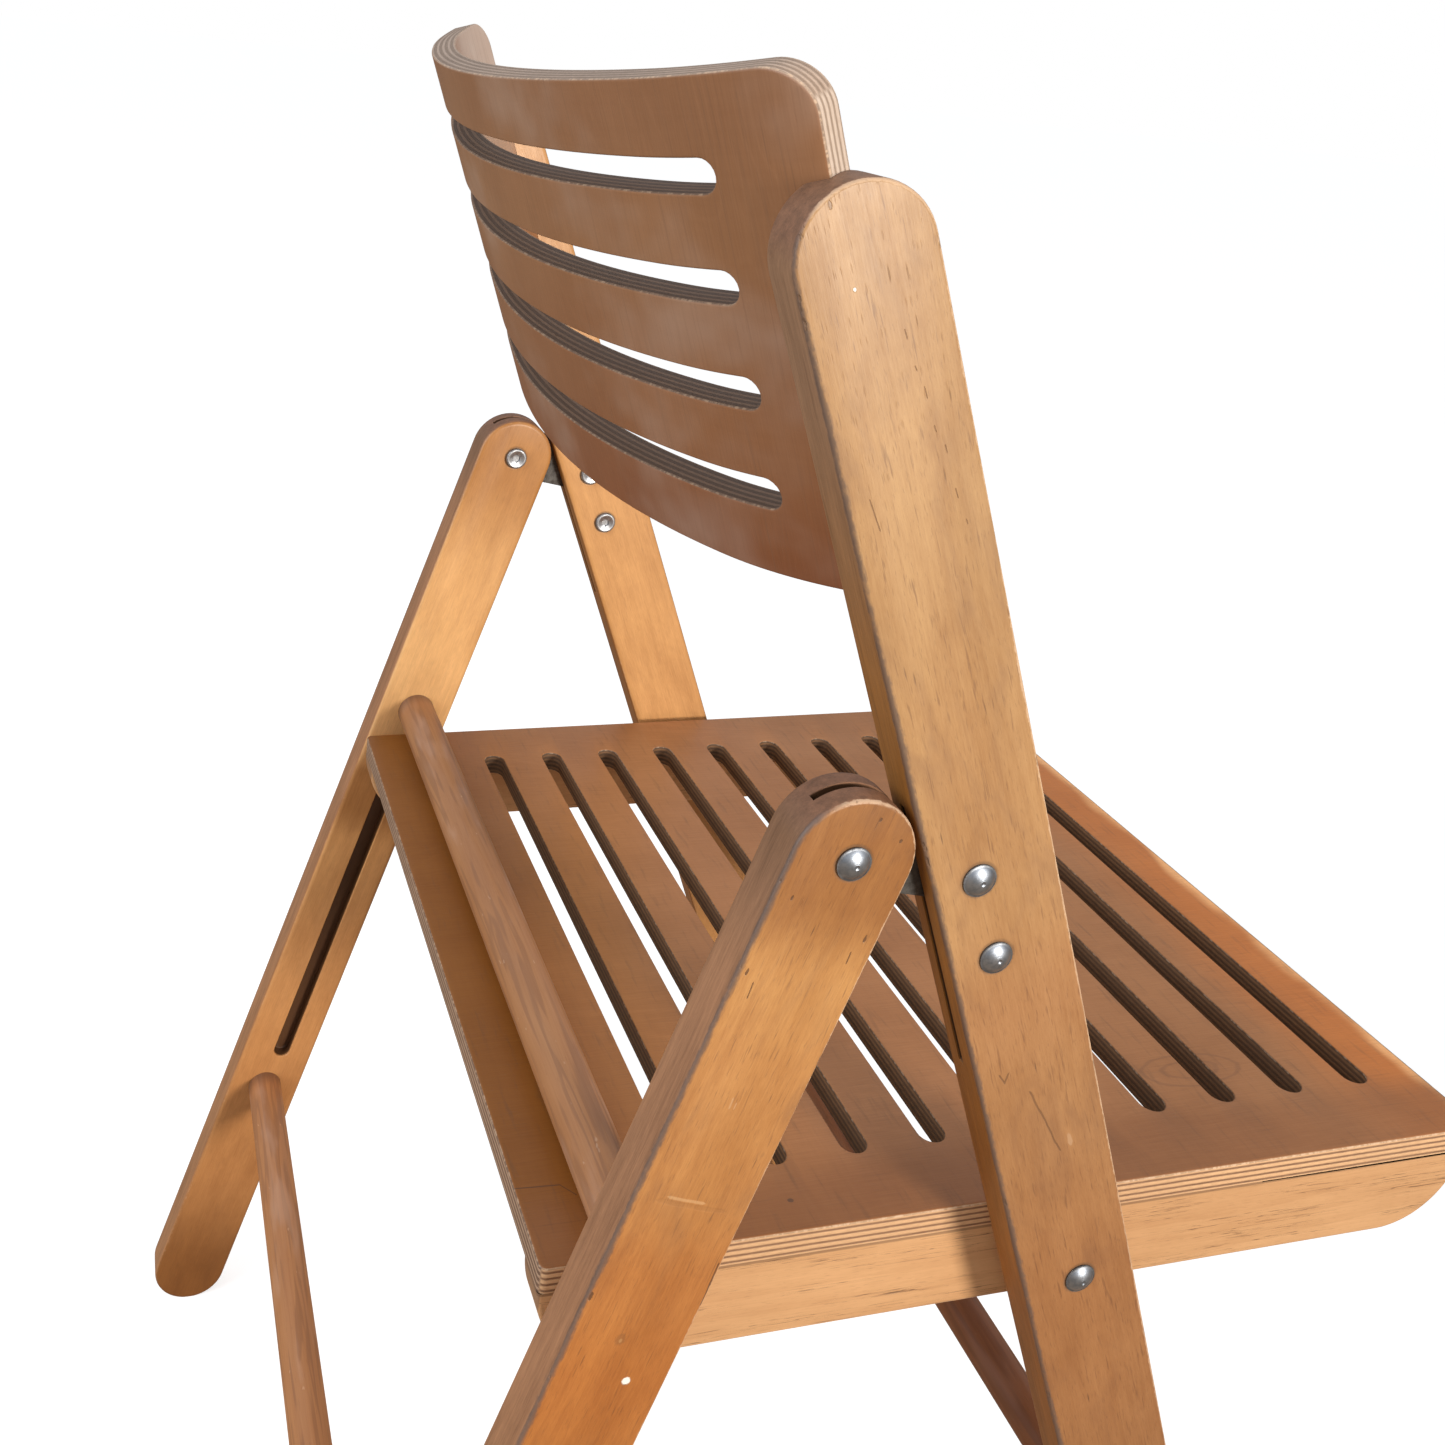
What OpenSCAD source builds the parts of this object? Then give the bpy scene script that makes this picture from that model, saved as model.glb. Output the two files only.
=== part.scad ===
// Folding chair, wooden, with a slatted plywood seat and a curved slotted plywood back.
// Two straight front posts carry the back panel. Two shorter rear legs hinge on steel plates
// let into saw kerfs in the posts. The seat pivots between the posts and is guided along the
// rear legs, so that legs and seat fold together.
// Millimetres, +Z up, -Y is the front of the chair, origin on the floor under the middle.

/* [Frame] */
// Width of the chair over the outer faces of the boards
overall_width = 430; // [380:1:500]
// Thickness of posts and legs
board_t = 19; // [15:0.5:25]
// Width of posts and legs seen from the side
board_w = 44; // [36:1:56]
// Height of the rear leg pivot above the floor
pivot_height = 583; // [560:1:600]
// Lean of the posts from vertical, top to the rear
post_lean = 23.3; // [21:0.1:25]
// Lean of the rear legs from vertical, foot to the rear
leg_lean = 15.6; // [14:0.1:17]
// Distance of the post centreline in front of the leg pivot
post_offset = 45.5; // [45:0.1:50]
// Centre of the rounded post top, measured up the post from the pivot
post_top = 185.2; // [170:0.1:200]
// Depth of the flat worn on each rounded foot
foot_flat = 1.5; // [0.5:0.1:4]

/* [Hinge plates] */
// Thickness of the steel plates
plate_t = 2.5; // [2:0.1:3]
// Width of the saw kerfs that take the plates
kerf_w = 3; // [2.6:0.1:4]
// Radius of the saw that cut the kerfs in the leg heads
kerf_r = 111; // [105:1:115]
// Radius of the saw that cut the kerfs in the posts
post_kerf_r = 61; // [61:0.5:62]
// Radius of the plate eye around the leg pivot
plate_eye_r = 13; // [11:0.5:13]
// Half width of the plate arm inside the post
plate_arm_r = 9; // [7:0.5:10]

/* [Back panel] */
// Thickness of the curved plywood
back_t = 11.7; // [6:0.1:13]
// Radius of the rear face over the middle
back_r1 = 520; // [450:5:650]
// Radius of the rear face towards the posts
back_r2 = 213; // [200:1:260]
// Half width over which the middle radius runs
back_x1 = 137.5; // [120:0.5:150]
// Forward tilt of the panel against the posts
back_tilt = 2; // [0:0.1:3]
// Lower edge, measured up the post
back_low = 75.4; // [70:0.1:90]
// Upper edge, measured up the post
back_high = 241; // [225:0.5:250]
// Height of the slots
back_slot_h = 11; // [8:0.5:14]
// Distance from slot to slot
back_slot_pitch = 35.05; // [34:0.05:36]
// Corner radius at the top
back_corner_r = 15; // [10:1:30]
// Depth of the grooves in the posts
back_groove = 9; // [5:0.5:10]

/* [Seat] */
// Thickness of the seat plywood
seat_ply = 11.7; // [8:0.1:12]
// Width of the seat over the rails
seat_width = 379; // [370:1:381]
// Fall of the seat towards the rear
seat_tilt = 1.5; // [0:0.1:3]
// Distance of the seat pivot down the post from the leg pivot
seat_down = 216.6; // [214:0.1:220]
// Seat top above the seat pivot
seat_rise = 13.5; // [13.2:0.1:15]
// Rear edge behind the seat pivot
seat_rear = 201.1; // [195:0.1:205]
// Front edge ahead of the seat pivot
seat_front = 215.2; // [200:0.1:230]
// Height of the side rails
rail_h = 35.2; // [30:0.1:38]
// Thickness of the side rails
rail_t = 18; // [15:0.5:22]
// Lower corner radius at both ends of the rails
rail_nose_r = 36; // [20:1:36]
// Width of the seat slots
slot_w = 11.5; // [8:0.5:14]
// Distance from slot to slot
slot_pitch = 34.77; // [33:0.01:35]
// Half length of the seat slots
slot_half = 158.7; // [150:0.1:162]

/* [Cross dowels and guide] */
// Diameter of the lower and front cross dowels
dowel_d = 20; // [18:0.5:20]
// Diameter of the upper dowel
upper_dowel_d = 21.5; // [20:0.5:21.5]
// Upper dowel, measured down the rear leg
upper_dowel = 166.75; // [165:0.05:168]
// Upper dowel, forward of the middle of the leg
upper_dowel_off = 1; // [0:0.5:2]
// Lower dowel, measured down the rear leg
lower_dowel = 437.5; // [436:0.1:450]
// Front dowel, measured down the post
front_dowel_at = 413; // [405:1:420]
// Upper end of the guide groove, measured down the rear leg
groove_top = 194.5; // [192:0.5:200]
// Lower end of the guide groove, measured down the rear leg
groove_end = 414.8; // [405:0.1:415]
// Width of the guide groove
groove_w = 10; // [6.5:0.1:10]
// Depth of the guide groove
groove_depth = 8; // [6:0.5:9]
// Diameter of the guide pins
pin_d = 9; // [5:0.5:9]

/* [Fasteners] */
// Diameter of the domed nut and bolt heads
head_d = 12; // [10:0.5:12]
// Height of the dome
dome_h = 2.6; // [2:0.1:3.5]
// Diameter of the small heads of the seat pivot bolts, inside the rails
seat_head_d = 7; // [6.5:0.5:7.5]
// Diameter of the nut barrels in the hinge plates
barrel_d = 7; // [6:0.5:7]

/* [Hidden] */
$fn = 96;

xo = overall_width / 2;          // outer face of the boards
xi = xo - board_t;               // inner face of the boards
xm = xo - board_t / 2;           // middle of the boards
xs = seat_width / 2;             // outer face of the seat rails
rb = board_w / 2;

// unit vectors in the side view, as [y, z]
pu = [sin(post_lean), cos(post_lean)];      // up the post
pn = [-cos(post_lean), sin(post_lean)];     // square to the post, to the front
lu = [-sin(leg_lean), cos(leg_lean)];       // up the leg
ln = [-cos(leg_lean), -sin(leg_lean)];      // square to the leg, to the front
sr = [cos(seat_tilt), -sin(seat_tilt)];     // along the seat, to the rear
sn = [sin(seat_tilt), cos(seat_tilt)];      // square to the seat, upwards

// foot centres sit so that the floor cuts the flat
foot_z = rb - foot_flat;
leg_len = (pivot_height - foot_z) / cos(leg_lean);
post_low = (pivot_height - foot_z + post_offset * sin(post_lean)) / cos(post_lean);

// seat pivot relative to the leg pivot, and the depth of the chair
srel = -seat_down * pu + post_offset * pn;
y_front = (srel + 4 * sn - seat_front * sr)[0];
y_rear = leg_len * sin(leg_lean) + rb;
P = [-(y_front + y_rear) / 2, pivot_height];
S = P + srel;

// guide pin: 15 below the seat pivot, on the line of the leg groove
groove_off = 2;
pin_low = 15;
gp_s = (pin_low * -1 + srel * sn - groove_off * (ln * sn)) / (-(lu * sn));
G = P - gp_s * lu + groove_off * ln;

fit = 0.05;       // radial running clearance on the pins
gap = 0.2;        // clearance under heads and beside moving faces
bore_d = 5;       // bolt hole in the nut barrels
shank_d = 4.8;
seat_barrel_d = 6;

wood_front = [0.80, 0.58, 0.36];
wood_leg = [0.82, 0.56, 0.33];
ply_c = [0.70, 0.50, 0.32];
dowel_c = [0.72, 0.52, 0.36];
steel_c = [0.62, 0.64, 0.67];
plate_c = [0.35, 0.34, 0.33];

function post(a, o) = P + a * pu + o * pn;
function leg(a, o) = P + a * lu + o * ln;
function seat(r, h) = S + r * sr + h * sn;

// ---------------------------------------------------------------- helpers

// a side-view drawing, x = depth and y = height, made into a solid from x0 to x0 + t
module side(x0, t) {
    translate([x0, 0, 0]) rotate([90, 0, 90]) linear_extrude(height = t) children();
}

// the solid at +X, or its mirror image at -X
module at_side(s) {
    if (s > 0) children();
    else mirror([1, 0, 0]) children();
}

module both() {
    children();
    mirror([1, 0, 0]) children();
}

// bar with round ends between two points of the side view
module bar2d(a, b, w) {
    L = norm(b - a);
    translate(a) rotate(atan2(b[1] - a[1], b[0] - a[0])) {
        translate([0, -w / 2]) square([L, w]);
        circle(d = w);
        translate([L, 0]) circle(d = w);
    }
}

// cylinder along X through a point of the side view
module rod(c, d, x0, x1) {
    translate([x0, c[0], c[1]]) rotate([0, 90, 0]) cylinder(d = d, h = x1 - x0);
}

// domed cap nut: the dome stands on the plane x = face, the barrel runs inwards to x = tip
module cap_nut(c, bd, face, tip) {
    R = (head_d * head_d / 4 + dome_h * dome_h) / (2 * dome_h);
    L = face - tip;
    translate([face, c[0], c[1]]) rotate([0, 90, 0]) rotate_extrude() difference() {
        union() {
            intersection() {
                translate([0, dome_h - R]) circle(r = R);
                square([head_d, dome_h + 1]);
            }
            translate([0, -L]) square([bd / 2, L + 0.5]);
        }
        translate([-1, -L - 1]) square([bore_d / 2 + 1, L - 0.5]);
    }
}

// bolt: head on the plane x = face facing inwards, shank running outwards to x = tip
module hex_bolt(c, face, tip, hd = head_d) {
    difference() {
        union() {
            rod(c, hd, face - 1.6, face);
            translate([face - 1.6, c[0], c[1]]) rotate([0, -90, 0])
                cylinder(d1 = hd, d2 = hd - 1.6, h = 0.6);
            rod(c, shank_d, face - 0.5, tip);
        }
        // shallow dish and key socket
        if (hd > 10) translate([face - 2.2, c[0], c[1]]) rotate([0, 90, 0]) cylinder(r1 = 4.3, r2 = 3, h = 0.5);
        translate([face - 2.5, c[0], c[1]]) rotate([0, 90, 0]) cylinder(d = hd > 10 ? 4.6 : 3.4, h = 1.9, $fn = 6);
    }
}

// ---------------------------------------------------------------- back panel

// plan of the bent plywood: three tangent arcs that meet on common radial lines
module back_plan(t, grow) {
    a1 = asin(back_x1 / back_r1);
    c1 = [0, 8.6 - back_r1];
    c2 = c1 + (back_r1 - back_r2) * [sin(a1), cos(a1)];
    intersection() {
        translate(c1) difference() { circle(r = back_r1 + grow, $fn = 360); circle(r = back_r1 - t - grow, $fn = 360); }
        polygon([c1, c1 + 700 * [sin(a1), cos(a1)], c1 + 700 * [-sin(a1), cos(a1)]]);
    }
    for (s = [0, 1]) mirror([s, 0, 0]) intersection() {
        translate(c2) difference() { circle(r = back_r2 + grow, $fn = 240); circle(r = back_r2 - t - grow, $fn = 240); }
        polygon([c2, c2 + 400 * [sin(a1 - 0.2), cos(a1 - 0.2)], c2 + [400, 400], c2 + [400, 0]]);
    }
}

// frame of the panel: origin on the pivot line of the tilt, z up the panel, y to the rear
back_at = 145;
module back_frame() {
    o = post(back_at, 0);
    translate([0, o[0], o[1]]) rotate([-(post_lean - back_tilt), 0, 0]) children();
}

module back_blank(end, grow) {
    back_frame() intersection() {
        translate([0, 0, back_low - back_at - grow]) linear_extrude(height = back_high - back_low + 2 * grow) back_plan(back_t, grow);
        translate([-end, -120, back_low - back_at - 5]) cube([2 * end, 160, back_high - back_low + 10]);
    }
}

module back_panel() {
    end = xi + back_groove;
    h = back_high - back_low;
    color(ply_c) back_frame() difference() {
        intersection() {
            translate([0, 0, back_low - back_at]) linear_extrude(height = h) back_plan(back_t, 0);
            // front view of the panel with its rounded top corners
            translate([0, 60, back_low - back_at]) rotate([90, 0, 0]) linear_extrude(height = 160) {
                translate([-end, 0]) square([2 * end, h - back_corner_r]);
                translate([-end + back_corner_r, 0]) square([2 * (end - back_corner_r), h]);
                for (s = [-1, 1]) translate([s * (end - back_corner_r), h - back_corner_r]) circle(r = back_corner_r);
            }
        }
        for (i = [0:3]) translate([0, 60, 105.6 - back_at + i * back_slot_pitch])
            rotate([90, 0, 0]) linear_extrude(height = 160) {
                translate([-165.5, -back_slot_h / 2]) square([331, back_slot_h]);
                for (s = [-1, 1]) translate([s * 165.5, 0]) circle(d = back_slot_h);
            }
    }
}

// ---------------------------------------------------------------- posts and legs

b1 = [-26.5, 39.5];     // plate bolts: up the post, square to the post
b2 = [-58.9, 39.5];

module post_at(s) {
    color(wood_front) at_side(s) difference() {
        side(xi, board_t) intersection() {
            bar2d(post(-post_low, post_offset), post(post_top, post_offset), board_w);
            translate([-600, 0]) square([1200, 1200]);
        }
        // groove for the back panel, open at the top
        back_blank(xi + back_groove + 0.1, 0.1);
        // saw kerf for the hinge plate
        rod(post(-50.5, -1.8), 2 * post_kerf_r, xm - kerf_w / 2, xm + kerf_w / 2);
        rod(post(b1[0], b1[1]), barrel_d + 0.2, xi - 1, xo + 1);
        rod(post(b2[0], b2[1]), barrel_d + 0.2, xi - 1, xo + 1);
        rod(S, seat_barrel_d + 0.2, xi - 1, xo + 1);
        rod(post(-front_dowel_at, post_offset), dowel_d + 0.1, xi - 1, xi + 12.1);
    }
}
module left_post() { post_at(1); }
module right_post() { post_at(-1); }

module leg_at(s) {
    color(wood_leg) at_side(s) difference() {
        side(xi, board_t) intersection() {
            bar2d(leg(-leg_len, 0), leg(0, 0), board_w);
            translate([-600, 0]) square([1200, 1200]);
        }
        // saw kerf in the head
        rod(leg(18.8, 93.6), 2 * kerf_r, xm - kerf_w / 2, xm + kerf_w / 2);
        rod(leg(0, 0), barrel_d + 2 * fit, xi - 1, xo + 1);
        // guide groove with round ends in the inner face
        side(xi - 1, groove_depth + 1)
            bar2d(leg(-groove_end + groove_w / 2, groove_off), leg(-groove_top - groove_w / 2, groove_off), groove_w);
        rod(leg(-upper_dowel, upper_dowel_off), upper_dowel_d + 0.1, xi - 1, xi + 12.1);
        rod(leg(-lower_dowel, 0), dowel_d + 0.1, xi - 1, xi + 12.1);
    }
}
module left_rear_leg() { leg_at(1); }
module right_rear_leg() { leg_at(-1); }

module seat_stop_dowel() { color(dowel_c) rod(leg(-upper_dowel, upper_dowel_off), upper_dowel_d, -(xi + 12), xi + 12); }
module lower_rear_dowel() { color(dowel_c) rod(leg(-lower_dowel, 0), dowel_d, -(xi + 12), xi + 12); }
module front_dowel() { color(dowel_c) rod(post(-front_dowel_at, post_offset), dowel_d, -(xi + 12), xi + 12); }

// ---------------------------------------------------------------- hinge plates

module plate_at(s) {
    color(plate_c) at_side(s) difference() {
        side(xm - plate_t / 2, plate_t) {
            bar2d(P, post(b1[0], b1[1]), 2 * plate_eye_r);
            bar2d(post(b1[0], b1[1]), post(b2[0], b2[1]), 2 * plate_arm_r);
        }
        rod(P, barrel_d + 0.2, xi, xo);
        rod(post(b1[0], b1[1]), barrel_d + 0.2, xi, xo);
        rod(post(b2[0], b2[1]), barrel_d + 0.2, xi, xo);
    }
}
module left_hinge_plate() { plate_at(1); }
module right_hinge_plate() { plate_at(-1); }

// ---------------------------------------------------------------- seat

module seat_plan() {
    // plan view, x across and y to the rear from the seat pivot
    rr = 3;
    rf = 6;
    translate([-xs, -seat_front + rf]) square([2 * xs, seat_front + seat_rear - rf - rr]);
    translate([-xs + rr, seat_rear - rr - 1]) square([2 * (xs - rr), rr + 1]);
    translate([-xs + rf, -seat_front]) square([2 * (xs - rf), rf + 1]);
    for (s = [-1, 1]) {
        translate([s * (xs - rr), seat_rear - rr]) circle(r = rr);
        translate([s * (xs - rf), -seat_front + rf]) circle(r = rf);
    }
}

module seat_frame() {
    translate([0, S[0], S[1]]) rotate([-seat_tilt, 0, 0]) children();
}

module seat_panel() {
    nose = 5;
    low = seat_rise - seat_ply;
    color(ply_c) seat_frame() difference() {
        intersection() {
            translate([0, 0, low]) linear_extrude(height = seat_ply) seat_plan();
            // side view with the rounded front edge
            translate([-xs - 1, 0, 0]) rotate([90, 0, 90]) linear_extrude(height = 2 * xs + 2) {
                translate([-seat_front, low - 1]) square([seat_front + seat_rear + 1, seat_ply + 1 - nose]);
                translate([-seat_front + nose, low - 1]) square([seat_front + seat_rear + 1, seat_ply + 1]);
                translate([-seat_front + nose, seat_rise - nose]) circle(r = nose);
            }
        }
        for (i = [0:9]) translate([0, seat_rear - 69.2 - i * slot_pitch, low - 1]) linear_extrude(height = seat_ply + 2) {
            translate([-slot_half + slot_w / 2, -slot_w / 2]) square([2 * slot_half - slot_w, slot_w]);
            for (s = [-1, 1]) translate([s * (slot_half - slot_w / 2), 0]) circle(d = slot_w);
        }
        // the pivot bores just graze the underside, with room for the bolt heads
        for (s = [-1, 1]) {
            translate([s * (xs - rail_t / 2), 0, 0]) rotate([0, 90, 0])
                cylinder(d = seat_barrel_d + 2 * fit, h = rail_t + 2, center = true);
            translate([s * (xs - rail_t - 2), 0, 0]) rotate([0, 90, 0])
                cylinder(d = seat_head_d + 0.6, h = 4, center = true);
        }
    }
}

module rail_at(s) {
    top = seat_rise - seat_ply;
    front = -seat_front + 8;
    color(wood_front) at_side(s) difference() {
        seat_frame() translate([xs - rail_t, 0, 0]) rotate([90, 0, 90]) linear_extrude(height = rail_t) {
            difference() {
                translate([front, top - rail_h]) square([seat_rear - front, rail_h]);
                difference() {
                    translate([front - 1, top - rail_h - 1]) square([rail_nose_r + 1, rail_nose_r + 1]);
                    translate([front + rail_nose_r, top - rail_h + rail_nose_r]) circle(r = rail_nose_r);
                }
                difference() {
                    translate([seat_rear - rail_nose_r, top - rail_h - 1]) square([rail_nose_r + 1, rail_nose_r + 1]);
                    translate([seat_rear - rail_nose_r, top - rail_h + rail_nose_r]) circle(r = rail_nose_r);
                }
            }
        }
        rod(S, seat_barrel_d + 2 * fit, xs - rail_t - 1, xs + 1);
        rod(G, pin_d + 0.04, xs - 12.1, xs + 1);
    }
}
module left_seat_rail() { rail_at(1); }
module right_seat_rail() { rail_at(-1); }

// the pin stops just short of the leg face
module left_guide_pin() { color(steel_c) rod(G, pin_d, xs - 12, xi - 0.5); }
module right_guide_pin() { mirror([1, 0, 0]) left_guide_pin(); }

// ---------------------------------------------------------------- fasteners

module plate_cap_nuts() {
    color(steel_c) both() {
        cap_nut(post(b1[0], b1[1]), barrel_d, xo, xi + 3);
        cap_nut(post(b2[0], b2[1]), barrel_d, xo, xi + 3);
    }
}
module plate_bolts() {
    color(steel_c) both() {
        hex_bolt(post(b1[0], b1[1]), xi, xo - 3);
        hex_bolt(post(b2[0], b2[1]), xi, xo - 3);
    }
}
module leg_pivot_cap_nuts() { color(steel_c) both() cap_nut(P, barrel_d, xo + gap, xi + 3); }
module leg_pivot_bolts() { color(steel_c) both() hex_bolt(P, xi - gap, xo - 3); }
module seat_pivot_cap_nuts() { color(steel_c) both() cap_nut(S, seat_barrel_d, xo, xs - rail_t + 3); }
module seat_pivot_bolts() { color(steel_c) both() hex_bolt(S, xs - rail_t - gap, xs + 8, seat_head_d); }
module seat_pivot_spacers() {
    color(steel_c) both() difference() {
        rod(S, 16, xs + gap, xi);
        rod(S, seat_barrel_d + 0.2, xs - 1, xi + 1);
    }
}

left_post();
right_post();
back_panel();
front_dowel();
left_rear_leg();
right_rear_leg();
seat_stop_dowel();
lower_rear_dowel();
seat_panel();
left_seat_rail();
right_seat_rail();
left_guide_pin();
right_guide_pin();
left_hinge_plate();
right_hinge_plate();
plate_cap_nuts();
plate_bolts();
leg_pivot_cap_nuts();
leg_pivot_bolts();
seat_pivot_cap_nuts();
seat_pivot_bolts();
seat_pivot_spacers();
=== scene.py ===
import bpy, bmesh, math
from mathutils import Vector, Matrix
from mathutils.geometry import tessellate_polygon

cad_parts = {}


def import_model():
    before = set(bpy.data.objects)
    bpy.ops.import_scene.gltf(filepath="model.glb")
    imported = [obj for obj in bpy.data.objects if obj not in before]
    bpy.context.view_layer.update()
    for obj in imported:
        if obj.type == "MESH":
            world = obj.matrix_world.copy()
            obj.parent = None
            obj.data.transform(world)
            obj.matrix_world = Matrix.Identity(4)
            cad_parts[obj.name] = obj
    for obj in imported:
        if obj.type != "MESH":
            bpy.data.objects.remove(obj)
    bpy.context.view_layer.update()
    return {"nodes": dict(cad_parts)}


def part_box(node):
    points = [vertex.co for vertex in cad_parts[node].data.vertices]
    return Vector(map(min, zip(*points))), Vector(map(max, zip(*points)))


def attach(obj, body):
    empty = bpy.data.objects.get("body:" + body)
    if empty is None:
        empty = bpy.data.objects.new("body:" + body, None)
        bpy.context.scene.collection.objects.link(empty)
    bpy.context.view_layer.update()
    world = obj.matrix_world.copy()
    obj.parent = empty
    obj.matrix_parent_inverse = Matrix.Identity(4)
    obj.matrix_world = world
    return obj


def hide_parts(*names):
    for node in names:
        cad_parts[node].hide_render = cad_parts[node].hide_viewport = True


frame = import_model()

MM = 0.001
D = math.pi / 180

# ------------------------------------------------------------------ places, from the frame

def centre(node):
    lo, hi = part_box(node)
    return (lo + hi) / 2

XO, XI, XM = 215.0, 196.0, 205.5          # board faces and middle, mm
_p, _s = centre("leg_pivot_bolts"), centre("seat_pivot_bolts")
P = (_p.y / MM, _p.z / MM)                # leg pivot in the side view
S = (_s.y / MM, _s.z / MM)                # seat pivot
POST, LEG, TILT = 23.3 * D, 15.6 * D, 1.5 * D
PU, PN = (math.sin(POST), math.cos(POST)), (-math.cos(POST), math.sin(POST))
LU, LN = (-math.sin(LEG), math.cos(LEG)), (-math.cos(LEG), -math.sin(LEG))
SR, SN = (math.cos(TILT), -math.sin(TILT)), (math.sin(TILT), math.cos(TILT))
LEG_LEN = (P[1] - 20.5) / math.cos(LEG)
POST_LOW = (P[1] - 20.5 + 45.5 * math.sin(POST)) / math.cos(POST)
POST_TOP = 185.2


def world(x, a, o, org, u, n):
    """millimetres in a side-view frame to metres in the row frame"""
    return Vector((x, org[0] + a * u[0] + o * n[0], org[1] + a * u[1] + o * n[1])) * MM


# ------------------------------------------------------------------ mesh helpers

def new_object(name, bm, smooth=34):
    me = bpy.data.meshes.new(name)
    bmesh.ops.recalc_face_normals(bm, faces=bm.faces)
    bm.to_mesh(me)
    bm.free()
    for p in me.polygons:
        p.use_smooth = True
    me.set_sharp_from_angle(angle=smooth * D)
    ob = bpy.data.objects.new(name, me)
    bpy.context.scene.collection.objects.link(ob)
    return ob


def rings_to_mesh(bm, rings, cap=True):
    """closed rings of the same count, joined by quads, with n-gon caps at both ends"""
    vs = [[bm.verts.new(p) for p in r] for r in rings]
    n = len(vs[0])
    for a, b in zip(vs, vs[1:]):
        for i in range(n):
            j = (i + 1) % n
            bm.faces.new((a[i], a[j], b[j], b[i]))
    if cap:
        bm.faces.new(list(reversed(vs[0])))
        bm.faces.new(vs[-1])
    return vs


def cyl(bm, c, r, x0, x1, seg=64, r1=None):
    """cylinder or cone along X, c in side-view millimetres"""
    r1 = r if r1 is None else r1
    rings = []
    for x, rr in ((x0, r), (x1, r1)):
        rings.append([Vector((x, c[0] + rr * math.cos(t * 2 * math.pi / seg), c[1] + rr * math.sin(t * 2 * math.pi / seg))) * MM for t in range(seg)])
    rings_to_mesh(bm, rings)


def side_point(a, o, org, u, n):
    return (org[0] + a * u[0] + o * n[0], org[1] + a * u[1] + o * n[1])


def boolean(ob, cutter_bm, op="DIFFERENCE"):
    bmesh.ops.recalc_face_normals(cutter_bm, faces=cutter_bm.faces)
    me = bpy.data.meshes.new("cut")
    cutter_bm.to_mesh(me)
    cutter_bm.free()
    cut = bpy.data.objects.new("cut", me)
    bpy.context.scene.collection.objects.link(cut)
    m = ob.modifiers.new("b", "BOOLEAN")
    m.operation = op
    m.solver = "EXACT"
    m.use_self = True
    m.object = cut
    bpy.context.view_layer.update()
    dg = bpy.context.evaluated_depsgraph_get()
    out = bpy.data.meshes.new_from_object(ob.evaluated_get(dg))
    ob.modifiers.clear()
    old = ob.data
    ob.data = out
    out.name = ob.name
    bpy.data.meshes.remove(old)
    bpy.data.objects.remove(cut)
    bpy.data.meshes.remove(me)


def finish_mesh(ob, smooth=34):
    bm = bmesh.new()
    bm.from_mesh(ob.data)
    bmesh.ops.remove_doubles(bm, verts=bm.verts, dist=2e-6)
    bmesh.ops.dissolve_degenerate(bm, dist=1e-6, edges=bm.edges)
    bmesh.ops.recalc_face_normals(bm, faces=bm.faces)
    bm.to_mesh(ob.data)
    bm.free()
    for p in ob.data.polygons:
        p.use_smooth = True
    ob.data.set_sharp_from_angle(angle=smooth * D)


def outline_stadium(a0, a1, half, seg=28):
    """points of a stadium and their inward normals, in (a, o)"""
    pts = []
    for i in range(seg + 1):
        t = math.pi * i / seg
        pts.append(((a1 + half * math.sin(t), half * math.cos(t)), (-math.sin(t), -math.cos(t))))
    for i in range(seg + 1):
        t = math.pi * i / seg
        pts.append(((a0 - half * math.sin(t), -half * math.cos(t)), (math.sin(t), math.cos(t))))
    return pts


def board(name, a0, a1, o_mid, org, u, n, sgn, cutters, r_in=2.8, r_out=1.5):
    """board with round ends and eased arrises; sgn +1 for +X"""
    half = 22.0
    pts = outline_stadium(a0, a1, half)
    levels = []
    k = 5
    for i in range(k + 1):
        f = (math.pi / 2) * i / k
        levels.append((XI + r_in * (1 - math.sin(f)), r_in * (1 - math.cos(f))))
    levels = [(XI + r_in * (1 - math.sin(math.pi / 2 * (1 - i / k))), r_in * (1 - math.cos(math.pi / 2 * (1 - i / k)))) for i in range(k + 1)]
    levels += [(XO - r_out * (1 - math.sin(math.pi / 2 * i / k)), r_out * (1 - math.cos(math.pi / 2 * i / k))) for i in range(k + 1)]
    rings = []
    for x, d in levels:
        rings.append([world(sgn * x, p[0] + nn[0] * d, o_mid + p[1] + nn[1] * d, org, u, n) for p, nn in pts])
    bm = bmesh.new()
    rings_to_mesh(bm, rings)
    # the floor cuts a small flat on the foot
    geom = bm.verts[:] + bm.edges[:] + bm.faces[:]
    cut = bmesh.ops.bisect_plane(bm, geom=geom, plane_co=(0, 0, 0), plane_no=(0, 0, 1), clear_inner=True)
    edges = [e for e in cut["geom_cut"] if isinstance(e, bmesh.types.BMEdge)]
    if edges:
        bmesh.ops.contextual_create(bm, geom=edges)
    ob = new_object(name, bm)
    for make in cutters:
        cb = bmesh.new()
        make(cb, sgn)
        boolean(ob, cb)
    finish_mesh(ob)
    return ob


# ------------------------------------------------------------------ the bent back panel: flat sheet first

B_R1, B_R2, B_T, B_X1 = 520.0, 213.0, 11.7, 137.5
B_A1 = math.asin(B_X1 / B_R1)
B_C1 = (0.0, 8.6 - B_R1)
B_C2 = (B_C1[0] + (B_R1 - B_R2) * math.sin(B_A1), B_C1[1] + (B_R1 - B_R2) * math.cos(B_A1))
B_S1 = B_R1 * B_A1
B_AT, B_LOW, B_HIGH, B_END, B_CR = 145.0, 75.4, 241.0, 205.0, 15.0


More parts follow.
